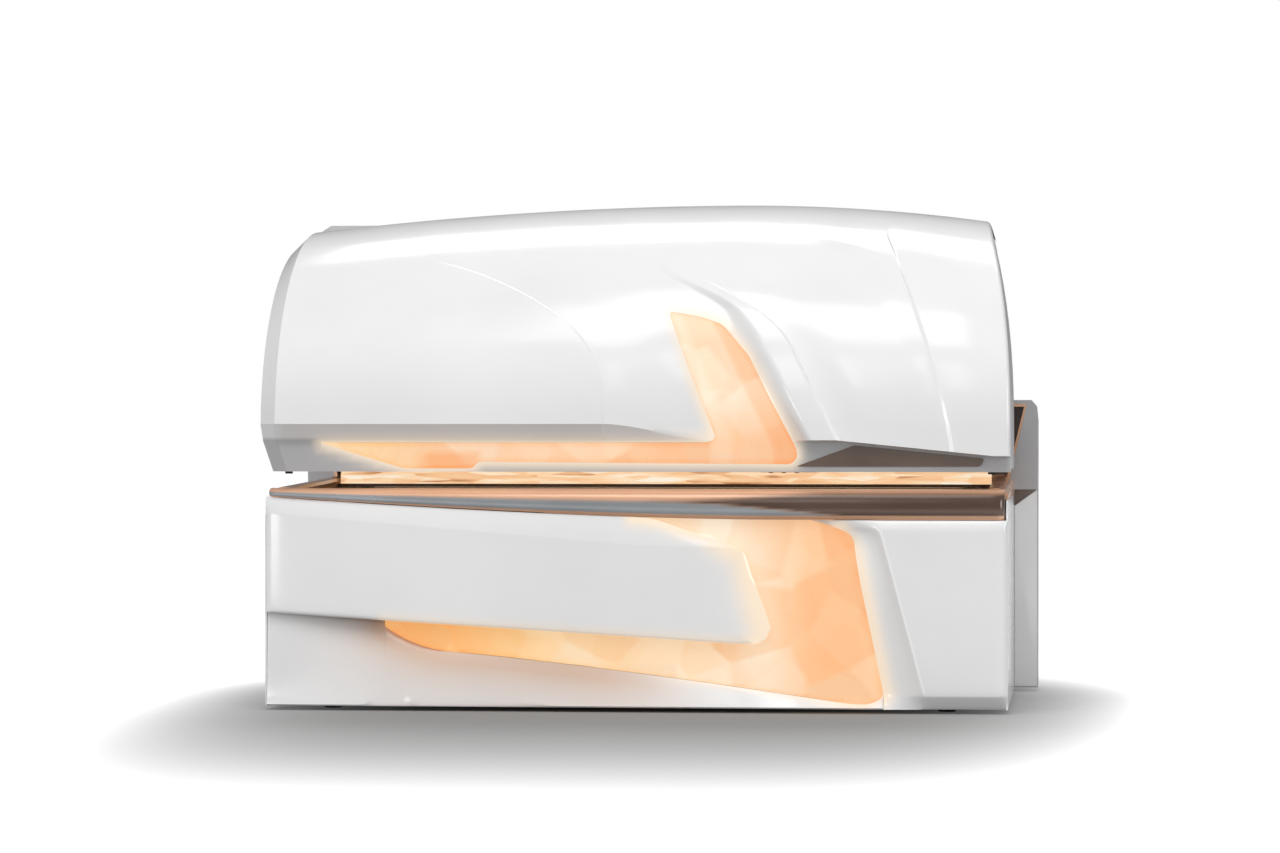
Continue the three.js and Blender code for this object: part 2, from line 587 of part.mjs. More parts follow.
// A bank of lamps between two arched holders. The holders stop one facet short of the sheet's edges.
function lampBank(radius, centre, middle, reach) {
  const inner = radius + SHEET + SEAT;
  const outer = radius + LAMP_SPACE - SEAT;
  const held = (reach * (ARC_STEPS - 2)) / ARC_STEPS;
  const pieces = [];
  for (const side of [-1, 1]) {
    const holder = arcBand(centre, inner, outer, middle - held, middle + held, ARC_STEPS - 2);
    pieces.push(prismYZ(holder, span(side, LAMP_HALF, LAMP_HALF + 20)));
  }
  for (let k = 0; k < LAMP_COUNT; k++) {
    const angle = middle + held * mix(-0.94, 0.94, k / (LAMP_COUNT - 1));
    const at = (inner + outer) / 2;
    const y = TUNNEL_Y + at * Math.sin(angle);
    const z = centre + at * Math.cos(angle);
    pieces.push(cylinderX(LAMP_RADIUS, [-LAMP_HALF - 5, LAMP_HALF + 5], y, z, 8));
  }
  return join(...pieces);
}

const BENCH_END = TUB_HALF - 64 - SEAT;
const benchReach = Math.asin(TUNNEL_HALF / BENCH_RADIUS);
const benchArc = (inner, outer, part) => {
  const reach = benchReach * part;
  return arcBand(BENCH_CENTRE, inner, outer, Math.PI - reach, Math.PI + reach, Math.round(ARC_STEPS * part));
};
const benchSheet = benchArc(BENCH_RADIUS, BENCH_RADIUS + SHEET, 1);
place(bed, "bench_acrylic", prismYZ(benchSheet, [-BENCH_END, BENCH_END]), acrylic);
place(bed, "bench_lamps", lampBank(BENCH_RADIUS, BENCH_CENTRE, Math.PI, benchReach), lampWhite);
const benchFoil = BENCH_RADIUS + LAMP_SPACE;
const benchMirror = benchArc(benchFoil, benchFoil + FOIL, 1);
place(bed, "bench_reflector", prismYZ(benchMirror, [-LAMP_HALF - 28, LAMP_HALF + 28]), mirror);

// Rear deck, with a slot for each gas strut.
const slotY = mix(STRUT_FOOT[0], STRUT_HEAD[0], (RIM_TOP - STRUT_FOOT[1]) / (STRUT_HEAD[1] - STRUT_FOOT[1]));
const deckSlots = SIDES.map(([, side]) => {
  return slab(span(side, STRUT_X - 22, STRUT_X + 22), [slotY - 26, slotY + 26], [600, 800]);
});
const deckY = [TUNNEL_Y + BENCH_HALF + SEAT, HOUSING_FRONT - SEAT];
const deck = slab([-BENCH_END, BENCH_END], deckY, [RIM_TOP - 14, RIM_TOP]);
place(bed, "rear_deck", cut(solidOf(deck), ...deckSlots), umber);

// A lit bar along the rear edge of the bench. It shows through the gap under the closed canopy.
const BAR_HALF = BENCH_END - 6;
const BAR_DEPTH = 24;
const BAR_TOP = LIP_BOTTOM - 6;
const barFront = deckY[0] + 8;
const barProfile = [[0, RIM_TOP + SEAT], [BAR_DEPTH, RIM_TOP + SEAT], [BAR_DEPTH, BAR_TOP - 8]];
barProfile.push([16, BAR_TOP], [9, BAR_TOP], [2, mix(RIM_TOP, BAR_TOP, 0.55)]);
const bar = prismYZ(barProfile.map(([y, z]) => [barFront + y, z]), [-BAR_HALF, BAR_HALF]);
place(bed, "bench_light_bar", bar, glow);

// Floor pan: a shallow tray behind the plinth.
const PAN_FRONT = FRONT_Y + 70;
const PAN_TOP = 60;
const panHalf = TUB_HALF - COVER - 1.5;
const panBox = slab([-panHalf, panHalf], [PAN_FRONT, HOUSING_FRONT - SEAT], [20, PAN_TOP]);
const panHollow = slab([-TUB_HALF + 12, TUB_HALF - 12], [PAN_FRONT + 4, HOUSING_FRONT - 5], [24, 80]);
place(bed, "floor_pan", cut(solidOf(panBox), panHollow), steel);

// Welded frame: rails on the pan, saddles under the reflector, and a post with a pin for each strut.
const RAIL = 40;
const RAIL_HALF = TUB_HALF - 100;
const OUTER_SADDLE = TUB_HALF - 120;
function baseFrame() {
  const rails = [TUNNEL_FRONT + 45, TUNNEL_REAR - 45];
  const pieces = rails.map((y) => slab([-RAIL_HALF, RAIL_HALF], [y, y + RAIL], [24 + SEAT, 84]));
  const saddle = benchArc(benchFoil + FOIL + SEAT, benchFoil + 60, 0.5);
  const legReach = (benchFoil + 30) * Math.sin(benchReach * 0.45);
  const legTop = BENCH_CENTRE - (benchFoil + 30) * Math.cos(benchReach * 0.45);
  for (const x of [-OUTER_SADDLE, -320, 320, OUTER_SADDLE]) {
    pieces.push(prismYZ(saddle, [x - 12, x + 12]));
    pieces.push(slab([x - 15, x + 15], [rails[0], HOUSING_FRONT - 10], [44, 84]));
    for (const y of [TUNNEL_Y - legReach, TUNNEL_Y + legReach]) {
      pieces.push(slab([x - 12, x + 12], [y - 15, y + 15], [80, legTop]));
    }
  }
  const [footY, footZ] = STRUT_FOOT;
  for (const [, side] of SIDES) {
    const post = span(side, STRUT_X + 15, STRUT_X + 45);
    pieces.push(slab(post, [footY - 18, footY + 18], [60, footZ + 18]));
    pieces.push(cylinderX(ROD_RADIUS, span(side, STRUT_X - 12, STRUT_X + 20), footY, footZ));
  }
  return join(...pieces);
}
place(bed, "base_frame", baseFrame(), steel);
const ballastY = [TUNNEL_Y - 195, TUNNEL_Y + 195];
place(bed, "ballast_box", slab([-290, 290], ballastY, [24 + SEAT, 250]), grey);

// Levelling feet: a pad and a stud. Two stand under the pan and two under the rear housing.
const FOOT_X = TUB_HALF - 190;
const FOOT_Y = [FRONT_Y + 165, REAR_Y - 115];
[[-1, 0], [1, 0], [-1, 1], [1, 1]].forEach(([side, row], k) => {
  const top = [20, FLOOR_GAP][row] - SEAT;
  const outline = [[0, 0], [26, 0], [28, 4], [24, 7], [12, 9], [12, top], [0, top]];
  const profile = outline.map(([a, b]) => new THREE.Vector2(a, b));
  const body = new THREE.LatheGeometry(profile, 12).rotateX(Math.PI / 2);
  place(bed, `levelling_foot_${k + 1}`, body, black).position.set(side * FOOT_X, FOOT_Y[row], 0);
});

// Rear housing: a tall box, open to the base in front, with a sunk wall above and two fan wells behind.
const wallOutline = (inset) => {
  const low = WALL_BOTTOM_HALF - inset;
  const high = WALL_TOP_HALF - inset;
  const bottom = RIM_TOP + 2 + inset;
  const top = WALL_TOP - inset;
  return [[-low, bottom], [low, bottom], [high, top], [-high, top]];
};
const FAN_DEPTH = 70;
const ROTOR_Y = REAR_Y - 40;
function rearHousing() {
  const half = REAR_HALF;
  const shoulder = [[half, FLOOR_GAP], [half, HOUSING_TOP - 68], [half - 5, HOUSING_TOP - 20]];
  shoulder.push([half - 22, HOUSING_TOP]);
  const outline = shoulder.concat(shoulder.map(([x, z]) => [-x, z]).reverse());
  const back = HOUSING_FRONT + WALL_DEPTH + HOUSING_WALL;
  const well = (grown) => SIDES.map(([, side]) => {
    const limits = [REAR_Y - FAN_DEPTH - grown, REAR_Y + 5];
    return cylinderY(FAN_RADIUS + grown, side * FAN_X, limits, FAN_Z);
  });
  const inside = half - HOUSING_WALL - 5;
  const floor = FLOOR_GAP + 6;
  const inner = slab([-inside, inside], [back, REAR_Y - HOUSING_WALL], [floor, HOUSING_TOP - HOUSING_WALL]);
  const hollow = cut(solidOf(inner), ...well(HOUSING_WALL));
  const mouth = slab([14 - TUB_HALF, TUB_HALF - 14], [HOUSING_FRONT - 5, back + 5], [floor, RIM_TOP - 16]);
  const recess = prismXZ(wallOutline(0), [HOUSING_FRONT - 5, HOUSING_FRONT + WALL_DEPTH]);
  const block = solidOf(prismXZ(outline, [HOUSING_FRONT, REAR_Y]));
  let body = cut(block, recess, mouth, ...well(0)).subtract(hollow);
  for (const [, side] of SIDES) {
    const spindle = [REAR_Y - FAN_DEPTH - 4, ROTOR_Y + 10 - SEAT];
    body = body.add(solidOf(cylinderY(12, side * FAN_X, spindle, FAN_Z, 16)));
  }
  return body;
}
place(bed, "rear_housing", rearHousing(), grey);
const wallBack = HOUSING_FRONT + WALL_DEPTH - SEAT;
place(bed, "rear_wall_panel", prismXZ(wallOutline(SEAT), [wallBack - 8, wallBack]), umber);
const trimY = [HOUSING_FRONT, wallBack - 8 - SEAT];
const trimHole = prismXZ(wallOutline(9), [trimY[0] - 5, trimY[1] + 5]);
place(bed, "rear_wall_trim", cut(solidOf(prismXZ(wallOutline(SEAT), trimY)), trimHole), copper);

// Fans behind slotted grilles.
const BLADES = 7;
for (const [name, side] of SIDES) {
  const x = side * FAN_X;
  const plate = solidOf(cylinderY(FAN_RADIUS - SEAT - 0.4, x, [REAR_Y - 6, REAR_Y], FAN_Z));
  const slots = [];
  for (let k = -5; k <= 5; k++) {
    const rise = (k * FAN_RADIUS * 3) / 20;
    const half = Math.sqrt((FAN_RADIUS - 14) ** 2 - rise ** 2);
    slots.push(slab([x - half, x + half], [REAR_Y - 20, REAR_Y + 5], [FAN_Z + rise - 6, FAN_Z + rise + 6]));
  }
  place(bed, `fan_grille_${name}`, cut(plate, ...slots), black);
  const pieces = [cylinderY(42, 0, [-20, 20], 0, 16)];
  for (let k = 0; k < BLADES; k++) {
    const blade = slab([-24, 24], [-2, 2], [36, 126]).rotateZ(0.6).rotateY((k * 2 * Math.PI) / BLADES);
    pieces.push(blade);
  }
  const rotor = cut(join(...pieces), cylinderY(12 + RUN, 0, [-30, 10], 0, 16));
  place(bed, `fan_rotor_${name}`, rotor, black).position.set(x, ROTOR_Y, FAN_Z);
}

// Hinges: two ears on the housing, a pin, and a leaf with one knuckle on the canopy.
const LEAF_Y = HINGE_Y - 30;
for (const [name, side] of SIDES) {
  const x = side * HINGE_X;
  const footplate = [HOUSING_TOP + SEAT, HOUSING_TOP + 8];
  const pieces = [slab([x - 55, x + 55], [HINGE_Y + 14, HINGE_Y + 100], footplate)];
  for (const ear of [-1, 1]) {
    const limits = [x + ear * 33 - 11, x + ear * 33 + 11];
    const rise = [[HINGE_Y + 96, HOUSING_TOP + 4], [HINGE_Y + 30, HINGE_Z + 14], [HINGE_Y, HINGE_Z + 14]];
    rise.push([HINGE_Y, HINGE_Z - 14], [HINGE_Y + 18, HOUSING_TOP + 4]);
    pieces.push(prismYZ(rise, limits), cylinderX(KNUCKLE_RADIUS, limits, HINGE_Y, HINGE_Z));
  }
  const bore = cylinderX(PIN_RADIUS + RUN, [x - 60, x + 60], HINGE_Y, HINGE_Z);
  place(bed, `hinge_bracket_${name}`, cut(join(...pieces), bore), steel);
  place(bed, `hinge_pin_${name}`, cylinderX(PIN_RADIUS, [x - 46, x + 46], HINGE_Y, HINGE_Z), steel);
  const knuckle = [x - 21, x + 21];
  const leaf = join(
    slab([x - 60, x + 60], [LEAF_Y + SEAT, LEAF_Y + 8], [HINGE_Z - 90, HINGE_Z + 90]),
    cylinderX(KNUCKLE_RADIUS, knuckle, HINGE_Y, HINGE_Z),
    slab(knuckle, [LEAF_Y + 4, HINGE_Y], [HINGE_Z - 13, HINGE_Z + 13]),
  );
  place(canopy, `hinge_leaf_${name}`, cut(leaf, bore), steel);
}

// Gas struts, each built upright and then tilted onto its two pivots.
const strutReach = Math.hypot(STRUT_HEAD[0] - STRUT_FOOT[0], STRUT_HEAD[1] - STRUT_FOOT[1]);
const strutTilt = Math.asin((STRUT_FOOT[0] - STRUT_HEAD[0]) / strutReach);
const FRAME_FRONT = LEAF_Y - 45; // front of the rails that carry the hinges and the strut brackets
for (const [name, side] of SIDES) {
  const barrel = join(
    cylinderZ(STRUT_RADIUS, 0, 0, [12, BARREL_LENGTH]),
    cylinderX(STRUT_EYE, [-8, 8], 0, 0),
    slab([-8, 8], [-8, 8], [0, 20]),
  );
  const bores = [cylinderX(ROD_RADIUS + RUN, [-30, 30], 0, 0)];
  bores.push(cylinderZ(ROD_RADIUS + RUN, 0, 0, [strutReach - ROD_LENGTH - 10, BARREL_LENGTH + 10]));
  const rod = join(
    cylinderZ(ROD_RADIUS, 0, 0, [strutReach - ROD_LENGTH, strutReach]),
    new THREE.SphereGeometry(10, 10, 6).translate(0, 0, strutReach),
    cylinderX(5, span(side, 0, 20), 0, strutReach, 12),
  );
  const pieces = [["barrel", cut(barrel, ...bores), black], ["rod", rod, mirror]];
  for (const [part, shape, look] of pieces) {
    const mesh = place(bed, `strut_${part}_${name}`, shape, look);
    mesh.position.set(side * STRUT_X, STRUT_FOOT[0], STRUT_FOOT[1]);
    mesh.rotation.x = strutTilt;
  }
  const armY = [STRUT_HEAD[0] - 24, FRAME_FRONT - SEAT];
  const arm = slab(span(side, STRUT_X + 12, STRUT_X + 20), armY, [STRUT_HEAD[1] - 24, STRUT_HEAD[1] + 24]);
  const eye = cylinderX(5 + HEAD_CLEARANCE, span(side, STRUT_X, STRUT_X + 40), STRUT_HEAD[0], STRUT_HEAD[1]);
  place(canopy, `strut_bracket_${name}`, cut(solidOf(arm), eye), steel);
}

// Canopy front: the white skin with a window, the insert clipped in from behind, and a bare plate.
const throughFront = [SKIN_FRONT - 150, SKIN_FRONT + 250];
const windowShape = (distance) => prismXZ(grow(insertOutline(), distance), throughFront);
place(canopy, "canopy_shell", cut(solidOf(skinLayer(0, COVER)), windowShape(0)), white);
const lens = solidOf(skinLayer(0.8, COVER + SEAT + 3)).intersect(solidOf(windowShape(-SEAT)));
const flange = solidOf(skinLayer(COVER + SEAT, COVER + SEAT + 3)).intersect(solidOf(windowShape(9)));
place(canopy, "canopy_insert", lens.add(flange), glow);
const plateColumn = solidOf(prismXZ(plateOutline(), throughFront));
place(canopy, "canopy_plate", solidOf(skinLayer(-SEAT - 3, -SEAT)).intersect(plateColumn), umber);

// Canopy ends: plates inside the skin. The right one leans with the skin's edge.
const END_LEFT = [SKIN_LEFT + 6, SKIN_LEFT + 36];
const END_RIGHT = [SKIN_RIGHT - 36, SKIN_RIGHT - 6];
const leftInset = (END_BEVEL_DEPTH * (END_BEVEL - 6)) / END_BEVEL;
place(canopy, "canopy_end_left", endPlate(-1, END_LEFT, leftInset + COVER + RUN), grey);

const NOZZLE_X = END_RIGHT[0] + 3;
const endRight = endPlate(1, END_RIGHT, 4 + COVER + RUN);
const sockets = NOZZLES.map((y) => {
  const limits = [NOZZLE_Z - NOZZLE_HALF - RUN, NOZZLE_Z + NOZZLE_HALF + RUN];
  return cylinderZ(NOZZLE_RADIUS + 0.6, NOZZLE_X, y, limits, 24);
});
place(canopy, "canopy_end_right", cut(solidOf(endRight), ...sockets), grey);

// Air nozzles: upright drums with a flat mouth and three vanes.
NOZZLES.forEach((y, k) => {
  const drum = solidOf(cylinderZ(NOZZLE_RADIUS, 0, 0, [-NOZZLE_HALF, NOZZLE_HALF], 24));
  const mouth = slab([-40, -18], [-40, 40], [-40, 40]);
  const slots = [-12, 0, 12].map((z) => slab([-30, 6], [-9, 9], [z - 4, z + 4]));
  const nozzle = place(canopy, `air_nozzle_${k + 1}`, cut(drum, mouth, ...slots), black);
  nozzle.position.set(NOZZLE_X, y, NOZZLE_Z);
});

// Canopy rear cover: a folded shell with closed cheeks, open below for the struts. Its top is level
// and shows over the lower left end of the skin.
const COVER_REAR = LEAF_Y;
const COVER_LOW = 870;
const COVER_TOP = 1553;
function rearCover() {
  const shares = [1, 0.9, 0.8, 0.63, 0.4, 0.2, 0.014, 0];
  const front = SKIN_REAR + SEAT;
  const across = (share, z) => mix(END_LEFT[0] + 2, END_RIGHT[1] - 2 - lean(z), share);
  const skinTop = (share) => {
    const x = across(share, COVER_TOP);
    return SKIN_CENTRE_Z + SKIN_RISE * crownScale(x) * Math.sin(REAR_ANGLE) - 2 * SEAT;
  };
  const profile = (share) => {
    const crest = Math.max(skinTop(share) - 6, COVER_TOP) - (share % 1 === 0 ? 20 : 0);
    const points = [[COVER_REAR, COVER_LOW], [COVER_REAR, 1150], [COVER_REAR, crest - 60]];
    points.push([COVER_REAR - 30, crest], [front + 22, crest], [front, skinTop(share)]);
    return points;
  };
  const inward = [[-1, 0], [-1, 0], [-0.9, -0.3], [-0.4, -0.9], [0.4, -0.9], [0.5, -0.9]];
  const point = (share, j, inset) => {
    const [y, z] = profile(share)[j];
    return [across(share, z), y + inward[j][0] * inset, z + inward[j][1] * inset];
  };
  const outer = (i, j) => point(shares[i], j, 0);
  const pieces = [sheetSolid(shares.length - 1, 5, outer, (i, j) => point(shares[i], j, COVER))];
  for (const share of [0, 1]) {
    const edge = profile(share).map(([y, z], j) => [y + inward[j][0] * 2, z + inward[j][1] * 2]);
    const thickness = share === 0 ? [0, COVER] : [-COVER, 0];
    const cheek = prismYZ([[front, COVER_LOW], ...edge, [front, 1150]], thickness);
    const spots = cheek.attributes.position;
    for (let k = 0; k < spots.count; k++) spots.setX(k, spots.getX(k) + across(share, spots.getZ(k)));
    pieces.push(cheek);
  }
  return join(...pieces);
}
place(canopy, "canopy_rear_cover", rearCover(), grey);

// Inner frame: a flat ring round the tunnel, with holes for the buttons.
const RING_TOP = LIP_BOTTOM + 12;
const RING_FRONT = SKIN_FRONT + LIP_DEPTH + LIP_TAPER + COVER + 5;
const RING = [LIP_BOTTOM + 4, RING_TOP];
const BUTTON_Y = (RING_FRONT + TUNNEL_FRONT) / 2;
const RING_X = [END_LEFT[1] + tuck(RING[0]) + SEAT, END_RIGHT[0] - SEAT];
const RING_REAR = 297;
const ringOutline = [[RING_X[0], RING_FRONT + 16], [RING_X[0] + 20, RING_FRONT], [RING_X[1], RING_FRONT]];
ringOutline.push([RING_X[1], RING_REAR], [RING_X[0], RING_REAR]);
const ring = prismXY(ringOutline, RING);
const TUNNEL_X = [RING_X[0] + 27, RING_X[1] - 36];
const throughRing = [RING[0] - 44, RING_TOP + 48];
const tunnel = slab(TUNNEL_X, [TUNNEL_FRONT, TUNNEL_REAR], throughRing);
const wells = BUTTONS.map((x) => cylinderZ(BUTTON_RADIUS + 5, x, BUTTON_Y, throughRing));
place(canopy, "canopy_inner_frame", cut(solidOf(ring), tunnel, ...wells), white);

const canopyReach = Math.acos((CANOPY_EDGE_Z - CANOPY_CENTRE) / CANOPY_RADIUS);
const canopyArc = (inner, outer) => {
  return arcBand(CANOPY_CENTRE, inner, outer, -canopyReach, canopyReach, ARC_STEPS);
};
const canopySheet = canopyArc(CANOPY_RADIUS, CANOPY_RADIUS + SHEET);
place(canopy, "canopy_acrylic", prismYZ(canopySheet, [TUNNEL_X[0] - 12, TUNNEL_X[1] + 12]), acrylic);
place(canopy, "canopy_lamps", lampBank(CANOPY_RADIUS, CANOPY_CENTRE, 0, canopyReach), lampWhite);
const canopyFoil = CANOPY_RADIUS + LAMP_SPACE;
const canopyMirror = canopyArc(canopyFoil, canopyFoil + FOIL);
place(canopy, "canopy_reflector", prismYZ(canopyMirror, [-LAMP_HALF - 28, LAMP_HALF + 28]), mirror);

// Canopy frame: rails behind, arms along the ends and a rail in front.
function canopyFrame() {
  const back = [FRAME_FRONT, COVER_REAR - COVER - SEAT];
  const front = [TUNNEL_FRONT + 85, TUNNEL_FRONT + 85 + RAIL];
  const across = [SKIN_LEFT + 85, SKIN_RIGHT - 98];
  const upper = [1240 - RAIL, 1240];
  const uprights = [across[0] + 65, -HINGE_X, HINGE_X, across[1] - 40];
  const arm = [front[0], back[0] + 5];
  const pieces = [slab(across, back, [970 - RAIL, 970])];
  for (const y of [back, front]) pieces.push(slab(across, y, upper));
  for (const x of uprights) pieces.push(slab([x - 25, x + 25], back, [890, 1240]));
  for (const x of [across[0], across[1] - RAIL]) pieces.push(slab([x, x + RAIL], arm, upper));
  return join(...pieces);
}
place(canopy, "canopy_frame", canopyFrame(), steel);

// Under the lip: rubber buffers, and the control panel with its buttons.
for (const [name, x] of [["left", RING_X[0] + 17], ["right", RING_X[1] - 22]]) {
  const buffer = cylinderZ(12, x, RING_FRONT + 24, [RING[0] - 11, RING[0] - SEAT]);
  place(canopy, `lip_buffer_${name}`, buffer, black);
}
const panelPlate = slab([390, 560], [BUTTON_Y - 22, BUTTON_Y + 22], [RING[0] - 5, RING[0] - SEAT]);
const buttonHoles = BUTTONS.map((x) => cylinderZ(BUTTON_RADIUS + RUN, x, BUTTON_Y, [700, 800]));
place(canopy, "control_panel", cut(solidOf(panelPlate), ...buttonHoles), umber);
BUTTONS.forEach((x, k) => {
  const collar = BUTTON_RADIUS + 3;
  const outline = [[0, -8], [BUTTON_RADIUS - 1, -8], [BUTTON_RADIUS, -7], [BUTTON_RADIUS, 0]];
  outline.push([collar, 0], [collar, 3], [0, 3]);
  const profile = outline.map(([a, b]) => new THREE.Vector2(a, b));
  const button = new THREE.LatheGeometry(profile, 12).rotateX(Math.PI / 2);
  place(canopy, `button_${k + 1}`, button, copper).position.set(x, BUTTON_Y, RING[0]);
});

export default bed;
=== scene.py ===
"""Looks of the clamshell tanning bed, in the frame of the CAD model: metres, +Z up, -Y is the front."""

import json
import math
from contextlib import contextmanager

import bmesh
import bpy
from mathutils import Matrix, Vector


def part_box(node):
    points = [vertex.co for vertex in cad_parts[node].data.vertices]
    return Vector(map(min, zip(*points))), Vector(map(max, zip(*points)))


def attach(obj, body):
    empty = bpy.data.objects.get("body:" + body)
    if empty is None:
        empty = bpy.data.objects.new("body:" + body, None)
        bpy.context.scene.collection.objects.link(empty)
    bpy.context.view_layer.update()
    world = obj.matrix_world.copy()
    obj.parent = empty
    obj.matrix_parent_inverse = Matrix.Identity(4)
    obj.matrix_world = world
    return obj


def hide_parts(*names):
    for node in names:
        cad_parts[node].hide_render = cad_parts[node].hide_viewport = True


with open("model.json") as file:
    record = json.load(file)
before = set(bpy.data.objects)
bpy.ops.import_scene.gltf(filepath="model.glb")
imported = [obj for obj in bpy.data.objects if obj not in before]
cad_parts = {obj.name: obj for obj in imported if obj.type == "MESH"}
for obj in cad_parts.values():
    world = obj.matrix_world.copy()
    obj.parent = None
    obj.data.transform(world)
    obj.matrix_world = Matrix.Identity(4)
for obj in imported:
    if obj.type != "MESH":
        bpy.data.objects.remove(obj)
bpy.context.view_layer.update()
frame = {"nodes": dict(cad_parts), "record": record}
nodes = frame["nodes"]
SIDES = (("left", -1), ("right", 1))


def clamp(value, low=0.0, high=1.0):
    return min(max(value, low), high)


def mix(a, b, t):
    return a + (b - a) * t


def smooth(value, start=0.0, span=1.0):
    """Rises softly from 0 to 1 over a span after a start, or before it where the span is negative."""
    c = clamp((value - start) / span)
    return c * c * (3 - 2 * c)


def configured(thing, **settings):
    for key, value in settings.items():
        setattr(thing, key, value)
    return thing


# Main sizes, read from the frame, and the thickness of the covers and of the acrylic sheets.
SHELL_LOW, SHELL_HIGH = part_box("canopy_shell")
HOUSING_LOW, HOUSING_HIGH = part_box("rear_housing")
RIM_LOW, RIM_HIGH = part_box("rim_front")
BENCH_LOW, BENCH_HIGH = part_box("bench_acrylic")
SHEET_LOW, SHEET_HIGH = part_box("canopy_acrylic")
FRONT_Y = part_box("base_right_cover")[0].y
TUB_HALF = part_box("base_end_right")[1].x
LIP_BOTTOM = SHELL_LOW.z
RIM_TOP = RIM_HIGH.z
FLOOR_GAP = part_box("base_plinth")[0].z
COVER = 0.005
SHEET = 0.004


class Look:
    """A Principled material whose nodes are made with a few short calls."""

    def __init__(self, name):
        self.material = bpy.data.materials.new(name)
        self.material.use_nodes = True
        self.tree = self.material.node_tree
        self.shader = self.tree.nodes["Principled BSDF"]
        self.place = self.add("TexCoord").outputs["Object"]

    def put(self, socket, value):
        """Links a socket to another node's output, or gives it a plain value."""
        if isinstance(value, bpy.types.NodeSocket):
            self.tree.links.new(value, socket)
        else:
            socket.default_value = value

    def add(self, kind, inputs=(), **settings):
        node = configured(self.tree.nodes.new("ShaderNode" + kind), **settings)
        for key, value in inputs:
            self.put(node.inputs[key], value)
        return node

    def set(self, **values):
        for key, value in values.items():
            self.put(self.shader.inputs[key.replace("_", " ")], value)

    def stretched(self, scale):
        return self.add("Mapping", [("Scale", scale), ("Vector", self.place)]).outputs["Vector"]

    def noise(self, scale, detail=3.0, place=None):
        inputs = [("Scale", scale), ("Detail", detail), ("Vector", place or self.place)]
        return self.add("TexNoise", inputs).outputs["Fac"]

    def facets(self, scale, softness):
        """Two random numbers for each cell of a net of angular cells."""
        inputs = [("Scale", 1.0), ("Smoothness", softness), ("Vector", self.stretched(scale))]
        cells = self.add("TexVoronoi", inputs, feature="SMOOTH_F1")
        parts = self.add("SeparateColor", [("Color", cells.outputs["Color"])])
        return parts.outputs["Red"], parts.outputs["Green"]

    def math(self, operation, *values):
        return self.add("Math", enumerate(values), operation=operation).outputs["Value"]

    def ramp(self, factor, stops):
        node = self.add("ValToRGB", [("Fac", factor)])
        points = node.color_ramp.elements
        while len(points) < len(stops):
            points.new(0.5)
        for point, (position, colour) in zip(points, stops):
            point.position = position
            point.color = (*colour, 1.0)
        return node.outputs["Color"]

    def tones(self, factor, dark, light):
        return self.ramp(factor, [(0.3, dark), (0.7, light)])

    def range(self, factor, low, high, start=0.3, end=0.7):
        inputs = [("Value", factor), ("From Min", start), ("From Max", end)]
        inputs += [("To Min", low), ("To Max", high)]
        return self.add("MapRange", inputs).outputs["Result"]

    def bump(self, height, strength):
        inputs = [("Height", height), ("Strength", strength), ("Distance", 0.001)]
        self.set(Normal=self.add("Bump", inputs).outputs["Normal"])

    def attribute(self, name):
        return self.add("Attribute", attribute_name=name).outputs["Fac"]

    def blend(self, factor, first, second):
        node = self.add("Mix", [("Factor", factor)], data_type="RGBA")
        colours = [socket for socket in node.inputs if socket.type == "RGBA"]
        for socket, value in zip(colours, (first, second)):
            self.put(socket, value)
        return next(socket for socket in node.outputs if socket.type == "RGBA")


def plain(name, dark, light, roughness, scale, metallic=0.0, grain=0.0):
    """A surface with a slow change of colour and shine, and a fine grain where asked."""
    look = Look(name)
    slow = look.noise(scale)
    look.set(Base_Color=look.tones(slow, dark, light))
    look.set(Roughness=look.range(slow, *roughness))
    look.set(Metallic=metallic)
    if grain:
        look.bump(look.noise(420.0, 2.0), grain)
    return look.material


def white_shell():
    """Glossy moulded plastic. Painted layers give its grey lip, a painted highlight along an edge,
    painted warm light spilled from a lens, and a halo of painted lens light.
    """
    look = Look("white_shell")
    slow = look.noise(2.5)
    white = look.tones(slow, (0.79, 0.79, 0.795), (0.83, 0.83, 0.83))
    grey = look.tones(slow, (0.40, 0.40, 0.41), (0.43, 0.43, 0.44))
    # The bright tone is a painted highlight (edge layer), the warm tone is painted lens light (spill
    # layer), and the lit tone with the emission is a painted halo of lens light (halo layer).
    bright = look.tones(slow, (0.96, 0.96, 0.96), (0.99, 0.99, 0.99))
    warm = look.tones(slow, (0.70, 0.52, 0.41), (0.74, 0.56, 0.45))
    lit = look.tones(slow, (0.36, 0.29, 0.21), (0.40, 0.33, 0.25))
    halo = look.attribute("halo")
    plastic = look.blend(look.attribute("edge"), look.blend(look.attribute("lip"), white, grey), bright)
    look.set(Base_Color=look.blend(halo, look.blend(look.attribute("spill"), plastic, warm), lit))
    look.set(Roughness=look.range(look.noise(4.0, 1.0), 0.13, 0.2))
    look.set(Emission_Color=(1.0, 0.83, 0.64, 1.0), Coat_Weight=0.3, Coat_Roughness=0.12)
    look.set(Emission_Strength=look.range(halo, 0.0, 0.64, 0.0, 1.0))
    look.bump(look.noise(260.0, 1.0), 0.003)
    return look.material


